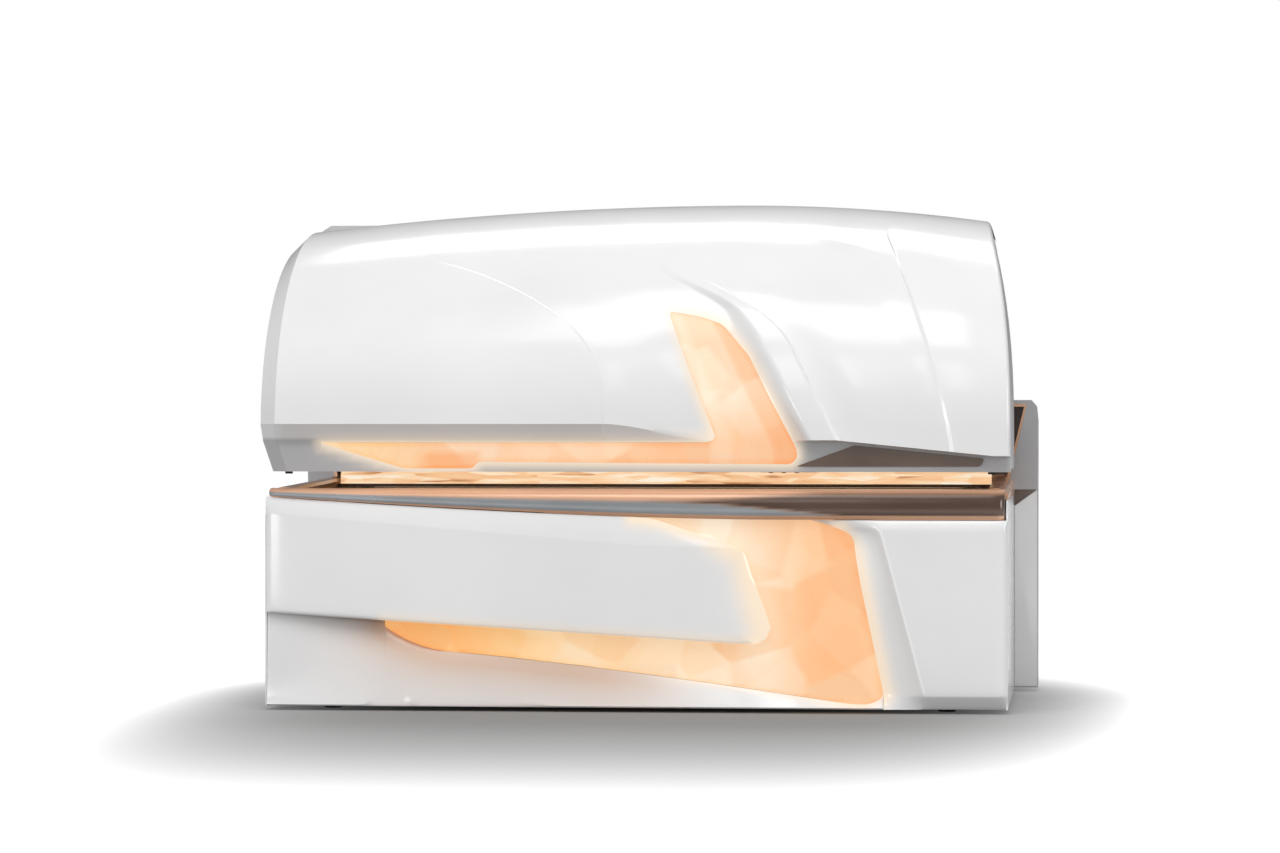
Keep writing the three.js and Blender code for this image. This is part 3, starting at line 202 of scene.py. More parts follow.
def glow_lens():
    """A translucent lens lit from behind: large angular facets, from cream to a pink or golden orange."""
    look = Look("glow_lens")
    tone, light = look.facets((5.2, 1.0, 5.6), 0.14)
    fine, _ = look.facets((9.0, 1.0, 8.0), 0.25)
    shift = look.math("MULTIPLY_ADD", tone, 0.28, -0.14)
    warmth = look.math("ADD", look.attribute("warmth"), shift)
    warmth = look.math("ADD", warmth, look.math("MULTIPLY_ADD", fine, 0.12, -0.06))
    pink = [(0.0, (0.92, 0.76, 0.60)), (0.25, (0.90, 0.62, 0.43)), (0.5, (0.89, 0.51, 0.29))]
    pink += [(0.75, (0.90, 0.41, 0.19)), (1.0, (0.95, 0.29, 0.07))]
    gold = [(0.0, (0.92, 0.77, 0.56)), (0.25, (0.91, 0.63, 0.32)), (0.5, (0.90, 0.51, 0.17))]
    gold += [(0.75, (0.92, 0.42, 0.10)), (1.0, (0.95, 0.32, 0.05))]
    tint = look.blend(look.attribute("gold"), look.ramp(warmth, pink), look.ramp(warmth, gold))
    look.set(Emission_Color=tint)
    look.set(Base_Color=look.ramp(warmth, [(0.0, (0.30, 0.25, 0.19)), (1.0, (0.26, 0.12, 0.05))]))
    look.set(Emission_Strength=look.range(light, 0.78, 0.85, 0.0, 1.0))
    look.set(Roughness=look.range(look.noise(14.0), 0.2, 0.32))
    return look.material


def lit_acrylic():
    """The lit bar behind the bench: a thick clear profile with bright and brown streaks."""
    look = Look("lit_acrylic")
    wavy, _ = look.facets((9.0, 1.0, 75.0), 0.08)
    streaks = look.noise(1.0, 3.0, look.stretched((4.5, 1.0, 60.0)))
    both = look.math("MULTIPLY_ADD", wavy, 0.34, look.math("MULTIPLY_ADD", streaks, 0.8, -0.07))
    stops = [(0.24, (0.50, 0.22, 0.10)), (0.36, (0.92, 0.54, 0.28)), (0.52, (1.0, 0.66, 0.38))]
    stops += [(0.64, (1.0, 0.78, 0.54)), (0.74, (1.0, 0.92, 0.78))]
    look.set(Emission_Color=look.ramp(both, stops))
    look.set(Base_Color=look.tones(both, (0.20, 0.10, 0.06), (0.36, 0.26, 0.18)))
    look.set(Roughness=look.range(streaks, 0.08, 0.2))
    look.set(Emission_Strength=0.88)
    return look.material


def clear_acrylic():
    look = Look("clear_acrylic")
    look.set(Base_Color=look.tones(look.noise(3.0), (0.96, 0.92, 0.88), (0.98, 0.96, 0.93)))
    look.set(Roughness=look.range(look.noise(20.0), 0.02, 0.05))
    look.set(Transmission_Weight=0.95, IOR=1.49)
    return look.material


def lamp_white():
    look = Look("lamp_white")
    slow = look.noise(6.0, 2.0, look.stretched((0.4, 8.0, 8.0)))
    look.set(Base_Color=look.tones(slow, (0.72, 0.70, 0.68), (0.80, 0.78, 0.76)))
    look.set(Emission_Color=look.tones(slow, (1.0, 0.74, 0.52), (1.0, 0.82, 0.62)))
    look.set(Emission_Strength=0.55, Roughness=0.25)
    return look.material


def copper_trim():
    """Metallised lacquer. Painted layers give the rim's front a painted grey reflection and a painted
    dark reflection.
    """
    look = Look("copper_trim")
    slow = look.noise(5.0, 2.0, look.stretched((0.6, 3.0, 3.0)))
    copper = look.tones(slow, (0.69, 0.39, 0.24), (0.77, 0.45, 0.29))
    # The grey and dark tones are painted reflections, laid on the rim's front by its layers.
    grey = look.tones(slow, (0.27, 0.29, 0.305), (0.33, 0.35, 0.365))
    dark = look.tones(slow, (0.085, 0.050, 0.035), (0.115, 0.070, 0.050))
    sheen = look.blend(look.attribute("sheen"), copper, grey)
    look.set(Base_Color=look.blend(look.attribute("dark"), sheen, dark))
    look.set(Roughness=look.range(slow, 0.22, 0.28))
    look.set(Metallic=0.2, Coat_Weight=0.25, Coat_Roughness=0.06)
    return look.material


def umber_panel():
    look = Look("umber_panel")
    look.set(Base_Color=look.tones(look.noise(4.0), (0.090, 0.055, 0.037), (0.140, 0.088, 0.060)))
    look.set(Roughness=look.range(look.noise(40.0), 0.14, 0.24))
    look.set(Coat_Weight=0.4, Coat_Roughness=0.05)
    return look.material


# Dark and light tone, range of roughness, scale of the change, metal and grain.
PLAIN_LOOKS = {
    "grey_cover": ((0.42, 0.42, 0.43), (0.48, 0.48, 0.49), (0.3, 0.42), 4.0, 0.0, 0.05),
    "reflector": ((0.78, 0.68, 0.58), (0.86, 0.77, 0.68), (0.1, 0.2), 8.0, 1.0),
    "canopy_alloy": ((0.44, 0.45, 0.46), (0.54, 0.55, 0.56), (0.3, 0.42), 12.0, 1.0),
    "frame_steel": ((0.21, 0.22, 0.23), (0.28, 0.29, 0.30), (0.35, 0.5), 14.0, 0.4, 0.06),
    "strut_black": ((0.015, 0.015, 0.016), (0.03, 0.03, 0.031), (0.2, 0.32), 20.0),
    "strut_rod": ((0.62, 0.63, 0.64), (0.74, 0.75, 0.76), (0.08, 0.16), 30.0, 1.0),
    "black_plastic": ((0.016, 0.016, 0.017), (0.03, 0.03, 0.032), (0.4, 0.55), 18.0, 0.0, 0.2),
    "black_rubber": ((0.012, 0.012, 0.012), (0.024, 0.024, 0.024), (0.7, 0.85), 25.0, 0.0, 0.3),
}
LOOKS = {name: plain(name, *values) for name, values in PLAIN_LOOKS.items()}
for make in (white_shell, glow_lens, copper_trim, umber_panel, clear_acrylic, lamp_white):
    LOOKS[make.__name__] = make()
LIT_BAR = lit_acrylic()
for part in frame["record"]["subparts"]:
    node = nodes[part["node"]]
    node.data.materials.clear()
    node.data.materials.append(LOOKS[part["material_slot"]])


@contextmanager
def opened(mesh):
    """A mesh opened for editing, and written back at the end."""
    form = bmesh.new()
    form.from_mesh(mesh)
    yield form
    form.to_mesh(mesh)
    form.free()


def mark_edges(mesh, angle):
    """Smooth faces, with a sharp edge where two faces meet at more than an angle."""
    with opened(mesh) as form:
        bmesh.ops.recalc_face_normals(form, faces=form.faces)
        for face in form.faces:
            face.smooth = True
        for edge in form.edges:
            edge.smooth = len(edge.link_faces) == 2 and edge.calc_face_angle(0.0) < math.radians(angle)


def finish_piece(piece, body, slot, replaced=(), angle=35, look=None):
    """Gives a piece its look, the body it rides on, and the CAD nodes that it stands for."""
    mark_edges(piece.data, angle)
    piece.data.materials.clear()
    piece.data.materials.append(look or LOOKS[slot])
    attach(piece, body)
    if replaced:
        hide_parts(*replaced)


def linked(name, data):
    """A new object of the scene, for a mesh, a light or a camera."""
    piece = bpy.data.objects.new(name, data)
    bpy.context.scene.collection.objects.link(piece)
    return piece


def new_object(name, points, faces):
    mesh = bpy.data.meshes.new(name)
    mesh.from_pydata([tuple(p) for p in points], [], faces)
    mesh.validate()
    return linked(name, mesh)


def apply_modifiers(piece):
    made = bpy.data.meshes.new_from_object(piece.evaluated_get(bpy.context.evaluated_depsgraph_get()))
    old = piece.data
    piece.modifiers.clear()
    piece.data = made
    bpy.data.meshes.remove(old)


def merged(name, pieces):
    """One object of several closed bodies."""
    form = bmesh.new()
    for piece in pieces:
        form.from_mesh(piece.data)
        bpy.data.objects.remove(piece)
    mesh = bpy.data.meshes.new(name)
    form.to_mesh(mesh)
    form.free()
    return linked(name, mesh)


def sheet(name, columns, rows, outer, inner):
    """A closed body between two facing sheets of points, given by column and row."""
    points = [side(i, j) for side in (outer, inner) for i in range(columns + 1) for j in range(rows + 1)]
    half = (columns + 1) * (rows + 1)

    def at(i, j, back):
        return back * half + i * (rows + 1) + j

    faces = []
    for i in range(columns):
        for j in range(rows):
            faces.append((at(i, j, 0), at(i + 1, j, 0), at(i + 1, j + 1, 0), at(i, j + 1, 0)))
            faces.append((at(i, j, 1), at(i, j + 1, 1), at(i + 1, j + 1, 1), at(i + 1, j, 1)))
    border = [(i, 0) for i in range(columns)] + [(columns, j) for j in range(rows)]
    border += [(i, rows) for i in range(columns, 0, -1)] + [(0, j) for j in range(rows, 0, -1)]
    for here, after in zip(border, border[1:] + border[:1]):
        faces.append((at(*after, 0), at(*here, 0), at(*here, 1), at(*after, 1)))
    return new_object(name, points, faces)


def walled(name, columns, rows, point, outer, inner):
    """A closed body between two depths of one sheet of points."""
    faces = [lambda i, j, deep=deep: point(i, j, deep) for deep in (outer, inner)]
    return sheet(name, columns, rows, *faces)


def subdivided(piece, levels, angle):
    """Rounds a net of faces. Edges sharper than an angle keep their line."""
    with opened(piece.data) as form:
        crease = form.edges.layers.float.new("crease_edge")
        for edge in form.edges:
            edge[crease] = 1.0 if edge.calc_face_angle(0.0) > math.radians(angle) else 0.0
    configured(piece.modifiers.new("round", "SUBSURF"), levels=levels, render_levels=levels)
    apply_modifiers(piece)


def boolean(piece, other, operation):
    change = piece.modifiers.new("cut", "BOOLEAN")
    configured(change, operation=operation, object=other, solver="EXACT")
    apply_modifiers(piece)
    bpy.data.objects.remove(other)


def bevelled(piece, width, segments=2, angle=30):
    change = piece.modifiers.new("edges", "BEVEL")
    configured(change, width=width, segments=segments, use_clamp_overlap=True)
    configured(change, limit_method="ANGLE", angle_limit=math.radians(angle))
    return piece


def prism(name, outline, limits):
    """A straight body along Y, between two limits, with its outline in X and Z."""
    count = len(outline)
    points = [(x, y, z) for y in limits for x, z in outline]
    faces = [tuple(range(count)), tuple(reversed(range(count, 2 * count)))]
    faces += [(k, k + count, (k + 1) % count + count, (k + 1) % count) for k in range(count)]
    piece = new_object(name, points, faces)
    mark_edges(piece.data, 30)
    return piece


def turned(name, profile, place, axis, sides=32):
    """A turned body: the profile is pairs of radius and distance along the axis."""
    turn = Vector((0, 0, 1)).rotation_difference(Vector(axis)).to_matrix()
    points, faces = [], []
    for radius, along in profile:
        for k in range(sides):
            angle = 2 * math.pi * k / sides
            spot = Vector((radius * math.cos(angle), radius * math.sin(angle), along))
            points.append(Vector(place) + turn @ spot)
    for j in range(len(profile) - 1):
        for k in range(sides):
            low, high = j * sides, (j + 1) * sides
            faces.append((low + k, low + (k + 1) % sides, high + (k + 1) % sides, high + k))
    last = (len(profile) - 1) * sides
    faces.append(tuple(reversed(range(sides))))
    faces.append(tuple(range(last, last + sides)))
    return new_object(name, points, faces)


def rounded(outline, radius, steps=4):
    """An outline with its corners turned into short arcs."""
    made = []
    for k, corner in enumerate(outline):
        here = Vector(corner)
        before = Vector(outline[k - 1]) - here
        after = Vector(outline[(k + 1) % len(outline)]) - here
        reach = min(radius, 0.45 * before.length, 0.45 * after.length)
        first, last = here + before.normalized() * reach, here + after.normalized() * reach
        for step in range(steps + 1):
            t = step / steps
            point = first * (1 - t) ** 2 + here * (2 * t * (1 - t)) + last * t ** 2
            made.append((point.x, point.y))
    return made


def offset(outline, distance):
    """Moves each edge of an outline outwards, keeping its corners."""
    area = sum(a[0] * b[1] - b[0] * a[1] for a, b in zip(outline, outline[1:] + outline[:1]))
    turn = 1 if area > 0 else -1
    made = []
    for k, (x, z) in enumerate(outline):
        a = (Vector((x, z)) - Vector(outline[k - 1])).normalized()
        b = (Vector(outline[(k + 1) % len(outline)]) - Vector((x, z))).normalized()
        out = Vector((a.y + b.y, -a.x - b.x)).normalized()
        reach = turn * distance / max(0.35, out.x * a.y - out.y * a.x)
        made.append((x + out.x * reach, z + out.y * reach))
    return made


def distance_to_line(x, z, line):
    """Least distance in X and Z from a point to a line of points."""
    best = 10.0
    for (ax, az), (bx, bz) in zip(line, line[1:]):
        length = (bx - ax) ** 2 + (bz - az) ** 2
        t = clamp(((x - ax) * (bx - ax) + (z - az) * (bz - az)) / max(length, 1e-12))
        best = min(best, math.hypot(x - mix(ax, bx, t), z - mix(az, bz, t)))
    return best


def near(point, line, reach, power):
    """1 on a line, falling to 0 with the distance from it."""
    return math.exp(-((distance_to_line(point.x, point.z, line) / reach) ** power))


def paint(piece, **layers):
    """Stores a number in each layer for each point of a piece, for its material to read."""
    for name, value in layers.items():
        layer = piece.data.attributes.new(name, "FLOAT", "POINT")
        layer.data.foreach_set("value", [value(v.co) for v in piece.data.vertices])


# The canopy skin, with the lines of the CAD model on a finer net.
CENTRE_Y, CENTRE_Z = 0.080, 0.860
SKIN_FRONT = FRONT_Y + 0.008
SKIN_DEPTH = CENTRE_Y - SKIN_FRONT
SKIN_RISE = 0.738
SKIN_LEFT, SKIN_RIGHT = SHELL_LOW.x, SHELL_HIGH.x
SKIN_REAR = 0.330
CROWN_X = 0.280
END_BEVEL, END_BEVEL_DEPTH = 0.053, 0.045
LIP_DEPTH, LIP_TAPER, LIP_TUCK = 0.040, 0.014, 0.030
SWOOSH_STEP, RECESS_TOP, BAND_RISE = 0.005, 0.014, 0.008
CREASE = 0.014
LIP_KNEE = 0.836


SWEEP_TOP = 1.352
PANEL_X, INSERT_X, BAND_X = -0.099, 0.256, 0.624
FACE_LEFT, FACE_MIDDLE, FACE_RIGHT = 0.888, 0.838, 0.790
RIDGE_GAP, RIDGE_RUN, RUN_OUT = 0.025, 0.120, 0.160


def sweep_line(x, z, lean, bend, start, top, power):
    """A line as X for a height: it leans to the left from a point and then bends away."""
    def line(height):
        level = clamp(height, z, top)
        return x - lean * (level - z) - bend * clamp((level - start) / (top - start)) ** power

    return line


def over_crown(z):
    return 0.560 * smooth(z, SWEEP_TOP, 0.215)


panel_line = sweep_line(PANEL_X, FACE_LEFT, 0.0, 0.650, FACE_LEFT, 1.437, 3)
insert_line = sweep_line(INSERT_X, 0.839, 0.41, 0.0, 0.839, SWEEP_TOP, 1)
outer_line = sweep_line(0.507, 0.802, 0.52, 0.0, 0.802, SWEEP_TOP, 1)
band_line = sweep_line(BAND_X, 0.839, 0.51, 0.200, 1.130, SWEEP_TOP, 2)
ridge_line = sweep_line(0.882, 1.022, 0.58, 0.798, 1.022, 1.567, 10)
ridge_crease = sweep_line(0.974, 0.818, 0.2, 0.083, 0.818, 1.482, 2)


def panel_edge(z):
    return panel_line(z) - 0.36 * over_crown(z)


def insert_left(z):
    return insert_line(z) - over_crown(z)


def band_crease(z):
    return band_line(z) - over_crown(z)


def insert_right(z):
    return min(outer_line(z) - over_crown(z), band_crease(z) - 0.080)


def ridge_left(z):
    return min(ridge_line(z), ridge_crease(z) - RIDGE_GAP)


def face_bottom(x):
    if x < INSERT_X:
        return mix(FACE_LEFT, FACE_MIDDLE, smooth(x, PANEL_X, INSERT_X - PANEL_X))
    return mix(FACE_MIDDLE, FACE_RIGHT, clamp((x - BAND_X) / 0.480))


def slope_height(x):
    return mix(0.052, 0.006, smooth(x, PANEL_X, INSERT_X - PANEL_X))


def crown_scale(x):
    if x < CROWN_X:
        return 1 - 0.118 * ((x - CROWN_X) / (CROWN_X - SKIN_LEFT)) ** 2
    return 1 - 0.093 * ((x - CROWN_X) / (SKIN_RIGHT - CROWN_X)) ** 2


def lean(z):
    return 0.075 * clamp((z - 0.840) / 0.700) ** 2.5


def lip_share(z):
    return clamp((LIP_KNEE - z) / (LIP_KNEE - LIP_BOTTOM))


def left_end(z):
    return SKIN_LEFT + LIP_TUCK * lip_share(z)


def right_end(z):
    return SKIN_RIGHT - lean(z)


def relief(x, z):
    """How far the moulded front stands out of the plain curve. Its creases run out towards the crown."""
    fade = 1 - smooth(z, 1.235, 0.200)
    step = BAND_RISE * (1 - smooth(z, 1.150, 0.220))
    crown = 1 - smooth(z, 1.380, 0.150)
    recess = mix(LIP_DEPTH, RECESS_TOP, clamp((z - LIP_KNEE) / 0.405))
    panel, left, right, band = panel_edge(z), insert_left(z), insert_right(z), band_crease(z)
    ridge, crease = ridge_left(z), ridge_crease(z)
    if x < panel:
        return 0.0
    if x < left:
        fall = mix(SWOOSH_STEP, recess, smooth(x, panel, left - panel))
        return -fade * fall * smooth(x, panel, CREASE)
    if x < right:
        return -fade * recess
    if x < band:
        return mix(-fade * recess, step, smooth(x, right, (band - right) / 2))
    if x < ridge:
        return mix(step, -step * (1 - smooth(x, band, RUN_OUT)), smooth(x, band, CREASE))
    rise = crown * BAND_RISE * smooth(crease - ridge, RIDGE_GAP, RIDGE_RUN)
    if x < crease:
        return rise * smooth(x, ridge, min(RIDGE_RUN, crease - ridge))
    low = -crown * SWOOSH_STEP * (1 - smooth(x, crease, RUN_OUT))
    return mix(rise, low, smooth(x, crease, CREASE))


def lip_relief(z):
    return -LIP_DEPTH - LIP_TAPER * lip_share(z)


def end_inset(x, z):
    left = clamp((left_end(z) + END_BEVEL - x) / END_BEVEL)
    right = clamp((x - right_end(z) + 0.012) / 0.012)
    return END_BEVEL_DEPTH * left + 0.012 * right * right


COLUMN_CELLS = [4, 4, 30, 8, 24, 16, 20, 8, 20, 14, 8, 14, 3, 3]
COLUMNS = sum(COLUMN_CELLS)
LIP_ROWS, SLOPE_ROWS, FACE_ROWS = 4, 4, 76
ROWS = LIP_ROWS + SLOPE_ROWS + FACE_ROWS
REAR_ANGLE = math.acos((CENTRE_Y - SKIN_REAR) / SKIN_DEPTH)


def column_x(column, z):
    """Columns follow the lines of the front; a crease has a few close together."""
    start, end = left_end(z), right_end(z)
    before, after = -0.002, CREASE + 0.002
    knots = [start, start + 0.020, start + END_BEVEL, panel_edge(z) + before, panel_edge(z) + after]
    knots += [insert_left(z), insert_right(z), band_crease(z) + before, band_crease(z) + after]
    knots += [ridge_left(z), ridge_crease(z) + before, ridge_crease(z) + after]
    knots += [end - 0.020, end - 0.008, end]
    k, rest = 0, column
    while k < len(COLUMN_CELLS) - 1 and rest > COLUMN_CELLS[k]:
        rest -= COLUMN_CELLS[k]
        k += 1
    return mix(knots[k], knots[k + 1], rest / COLUMN_CELLS[k])


def edge_point(column, level, depth):
    """A point of the lip's lower edge, of the foot of the slope over it, or of the slope's top."""
    x = column_x(column, FACE_MIDDLE)
    for _ in range(4):
        z = (LIP_BOTTOM, face_bottom(x) - slope_height(x), face_bottom(x))[level]
        x = column_x(column, z)
    out = lip_relief(z) if level < 2 else max(relief(x, z), lip_relief(z))
    return Vector((x, SKIN_FRONT - out + end_inset(x, z) + depth, z))


def skin_point(column, row, depth):
    if row <= LIP_ROWS:
        return edge_point(column, 0, depth).lerp(edge_point(column, 1, depth), row / LIP_ROWS)
    if row <= LIP_ROWS + SLOPE_ROWS:
        t = (row - LIP_ROWS) / SLOPE_ROWS
        return edge_point(column, 1, depth).lerp(edge_point(column, 2, depth), t)
    foot = edge_point(column, 2, depth)
    first = math.asin(clamp((foot.z + 0.006 - CENTRE_Z) / SKIN_RISE))
    angle = mix(first, REAR_ANGLE, (row - LIP_ROWS - SLOPE_ROWS) / FACE_ROWS)
    rise = SKIN_RISE
    for _ in range(3):
        x = column_x(column, CENTRE_Z + rise * math.sin(angle))
        rise = SKIN_RISE * crown_scale(x)
    z = CENTRE_Z + rise * math.sin(angle)
    normal = Vector((-math.cos(angle) / SKIN_DEPTH, math.sin(angle) / rise)).normalized()
    out = relief(x, z) - end_inset(x, z) - depth
    return Vector((x, CENTRE_Y - SKIN_DEPTH * math.cos(angle) + normal.x * out, z + normal.y * out))


def skin_layer(name, outer, inner):
    return walled(name, COLUMNS, ROWS, skin_point, outer, inner)


def insert_outline():
    tip = SKIN_LEFT + 0.185
    points = [(tip, 0.831), (tip + 0.264, 0.750), (tip + 0.482, 0.750), (tip + 0.498, 0.771)]
    points += [(0.486, 0.764), (0.505, 0.785)]
    points += [(insert_right(z), z) for z in (0.815, 0.950, 1.100)]
    points += [(0.269, 1.196), (0.205, 1.219), (insert_left(1.238) + 0.006, 1.238)]
    points += [(insert_left(0.845), 0.845), (0.232, 0.831)]
    return points


WINDOW = rounded(insert_outline(), 0.018)
WINDOW_LINE = WINDOW + WINDOW[:1]
THROUGH_FRONT = (SKIN_FRONT - 0.15, SKIN_FRONT + 0.25)


def canopy_halo(point):
    """The lens lights the shell round it, and less on the slope over its long foot."""
    if point.y > -0.3 or not -1.1 < point.x < 0.65:
        return 0.0
    beside = max(smooth(point.x, 0.10, 0.12), smooth(point.z, 0.842, -0.010))
    return mix(0.45, 0.85, beside) * near(point, WINDOW_LINE, 0.021, 1.7)


def canopy_warmth(point):
    """The lit colour: cream along the left, peach in the middle, orange along the right and the foot."""
    left, right = insert_left(point.z), insert_right(point.z)
    across = (point.x - left) / (right - left)
    warm = 0.05 + 0.12 * smooth(across, 0.14, 0.16) + 0.24 * smooth(across, 0.66, 0.10)
    warm += 0.37 * smooth(point.z, 1.00, -0.18)
    if point.z < 0.835 and point.x < 0.24:
        spot = smooth(point.x, -0.68, 0.03) * smooth(point.x, -0.47, -0.03)
        spot *= smooth(point.z, 0.806, -0.01)
        run = smooth(point.x, -0.96, 0.30)
        warm = 0.10 + 0.26 * run + 0.34 * spot + 0.20 * smooth(point.x, -0.2, 0.4)
    return clamp(warm + 0.22 * near(point, WINDOW_LINE, 0.004, 1))


def canopy_gold(point):
    return 0.1 + 0.8 * smooth(point.x, -0.55, -0.30)


def canopy_lip(point):
    return 1.0 if point.z < face_bottom(point.x) - slope_height(point.x) + 0.001 else 0.0


def canopy_front():
    skin = skin_layer("canopy_skin", 0.0, COVER)
    boolean(skin, prism("window", WINDOW, THROUGH_FRONT), "DIFFERENCE")
    paint(skin, halo=canopy_halo, lip=canopy_lip)
    finish_piece(skin, "canopy", "white_shell", ["canopy_shell"], 34)
    lens = skin_layer("canopy_lens", 0.0012, 0.0083)
    boolean(lens, prism("window", offset(WINDOW, -0.0004), THROUGH_FRONT), "INTERSECT")
    paint(lens, warmth=canopy_warmth, gold=canopy_gold)
    finish_piece(lens, "canopy", "glow_lens", ["canopy_insert"], 34)
    right = SKIN_RIGHT - 0.080
    corners = [(0.500, 0.757), (right - 0.012, 0.757), (right, 0.782), (0.680, 0.822)]
    plate = skin_layer("canopy_plate_skin", -0.0033, -0.0003)
    boolean(plate, prism("outline", rounded(corners, 0.010), THROUGH_FRONT), "INTERSECT")
    finish_piece(plate, "canopy", "umber_panel", ["canopy_plate"], 30)


canopy_front()


# The base front, with the lines of the CAD model.
PANEL_LEFT, PANEL_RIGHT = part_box("base_front_panel")[0].x, 0.317
PANEL_COLUMNS, PANEL_CORNER = 40, 0.050
PANEL_OVERHANG, PANEL_BEVEL = 0.036, 0.058
CREASE_BEND = 0.024
INSERT_TIP, INSERT_BEND, TIP_END = -0.775, -0.660, -0.585
LENS_BOTTOM, CORNER_START = 0.026, 0.690


def band_bottom(x):
    return 0.594 + 0.067 * max(0.0, (0.393 - x) / 1.517) ** 1.6


def panel_bottom(x):
    return 0.302 - 0.0616 * (x - PANEL_LEFT)


def panel_crease(x):
    return 0.612 - 0.082 * (min(x, CREASE_BEND) - PANEL_LEFT) - 0.027 * max(0.0, x - CREASE_BEND)


def panel_top(x):
    return mix(band_bottom(x) + 0.0001, panel_crease(x) + 0.036, smooth(x, 0.020, 0.220))


def panel_right(z):
    return PANEL_RIGHT + 0.238 * (0.508 - z)


def insert_edge(z):
    return 0.767 - 0.212 * (z - 0.075)


def bend(t):
    return 1 - math.sqrt(1 - clamp(t) ** 2)


CORNER_Z = 0.062
CORNER_X = insert_edge(CORNER_Z)


def insert_bottom(x):
    low = mix(0.189, LENS_BOTTOM, clamp((x - INSERT_BEND) / 1.350) ** 1.25)
    tip = 0.071 * clamp((TIP_END - x) / (TIP_END - INSERT_TIP)) ** 1.9
    corner = bend((x - CORNER_START) / (CORNER_X - CORNER_START))
    return low + tip + (CORNER_Z - LENS_BOTTOM) * corner


# What is seen of the lens is bounded by the plinth, the right cover, the rim and the panel.
LENS_LOW = [(x, insert_bottom(x)) for x in (mix(INSERT_TIP, CORNER_X, k / 60) for k in range(61))]
LENS_RIGHT = [(insert_edge(0.075), 0.075), (insert_edge(0.500), 0.500), (0.633, 0.560)]
PANEL_HOOK = [(x, panel_top(x)) for x in (0.0, 0.08, 0.16, 0.22, panel_right(0.546) - 0.040)]
PANEL_END = [PANEL_HOOK[-1], (panel_right(0.490) + 0.030, 0.490), (panel_right(0.240) + 0.034, 0.240)]
PANEL_END += [(panel_right(0.212) + 0.002, panel_bottom(PANEL_RIGHT))]
PANEL_FOOT = [PANEL_END[-1], (-0.3, panel_bottom(-0.3)), (INSERT_TIP, panel_bottom(INSERT_TIP))]
LENS_PANEL = PANEL_HOOK + PANEL_END[1:]


def panel_halo(point):
    hook = 0.95 * near(point, PANEL_HOOK, 0.028, 2)
    return max(hook, 0.95 * near(point, PANEL_END, 0.060, 2.4), 0.6 * near(point, PANEL_FOOT, 0.020, 1.6))


def plinth_halo(point):
    return 0.6 * near(point, LENS_LOW, 0.012, 1.4) * smooth(point.x, -0.05, 0.3)


def plinth_spill(point):
    """The warm light of the lens on the plinth under it."""
    if point.y > -0.64:
        return 0.0
    return clamp(1.5 * near(point, LENS_LOW, 0.085, 1)) * smooth(point.x, 0.35, -0.5)


def cover_halo(point):
    return 0.95 * near(point, LENS_LOW[-3:] + LENS_RIGHT, 0.036, 2.4) if point.y < -0.62 else 0.0


def panel_point(i, j, inset):
    heights = [0.210, 0.212, 0.222, 0.290, 0.370, 0.450, 0.506, 0.510, 0.528, 0.546]
    turn = max(0, i - PANEL_COLUMNS + 6) / 6
    share = 1 - clamp(1 - (i - 1) / (PANEL_COLUMNS - 7)) ** 1.7
    start = PANEL_LEFT + 0.012 * min(i, 1)
    end = panel_right(heights[j]) + PANEL_OVERHANG - PANEL_BEVEL - 0.026 * max(0, j - 7)
    x = mix(start, end, share) + PANEL_BEVEL * turn
    level = clamp(x, PANEL_LEFT, PANEL_RIGHT)
    rows = [panel_bottom(level), panel_bottom(level) + 0.003, panel_bottom(level) + 0.012]
    rows += [mix(rows[2], panel_crease(level), t) for t in (0.25, 0.5, 0.75, 0.985, 1.0)]
    rows += [mix(panel_crease(level), panel_top(level), 0.5), panel_top(level)]
    middle = (rows[0] + rows[9]) / 2
    drawn = PANEL_CORNER * bend(turn) / (rows[9] - middle)
    back = (0.016, 0.003, 0.0, 0.0, 0.0, 0.0, 0.0, 0.0005, 0.007, 0.016)[j]
    side = 0.010 if i == 0 else 0.024 * turn
    return Vector((x, FRONT_Y + max(back, side) + inset, mix(rows[j], middle, drawn)))


STATIONS = [INSERT_TIP, -0.770, -0.745, -0.710, INSERT_BEND, -0.620, TIP_END, -0.480, -0.380, -0.160]
STATIONS += [0.060, 0.300, 0.520, CORNER_START, 0.728, 0.755, 0.765, CORNER_X]
PLINTH_LEFT = PANEL_LEFT + 0.004
FOLD_FOOT, FOLD_END = 0.034, -0.400
TIP_DEPTH, SCOOP_DEPTH, LENS_DEPTH = 0.058, 0.026, 0.036
SCOOP = (0, 0.06, 0.28, 0.52, 0.77, 0.96, 0.997)
PLINTH_X = [mix(PLINTH_LEFT, INSERT_TIP, share) for share in SCOOP] + STATIONS


def plinth_point(i, j, inset):
    x = PLINTH_X[i]
    scoop = x < INSERT_TIP
    top = panel_bottom(x) + 0.006 if scoop else insert_bottom(x) - 0.0006
    beside = (INSERT_TIP - x) / (INSERT_TIP - PLINTH_LEFT) if scoop else (x - INSERT_TIP) / 0.300
    deep = mix(TIP_DEPTH, SCOOP_DEPTH if scoop else LENS_DEPTH, smooth(beside))
    under_panel = 0.012 * (1 - smooth(beside)) if scoop else 0.0
    crest = mix(top, insert_bottom(INSERT_TIP), smooth(x, INSERT_TIP - 0.100, 0.100)) if scoop else top
    fold = mix(FOLD_FOOT, mix(FOLD_FOOT, crest, 0.82), clamp((x - PLINTH_LEFT) / 0.400))
    middle = fold if x < FOLD_END else mix(FLOOR_GAP + 0.005, top, 0.5)
    z = (FLOOR_GAP, FLOOR_GAP + 0.005, middle, top)[j]
    share = 0.62 if x < FOLD_END else 0.5
    depth = (0.014, 0.008, mix(0.008, deep, share), deep + under_panel)[j]
    return Vector((x, FRONT_Y + depth + inset, z))


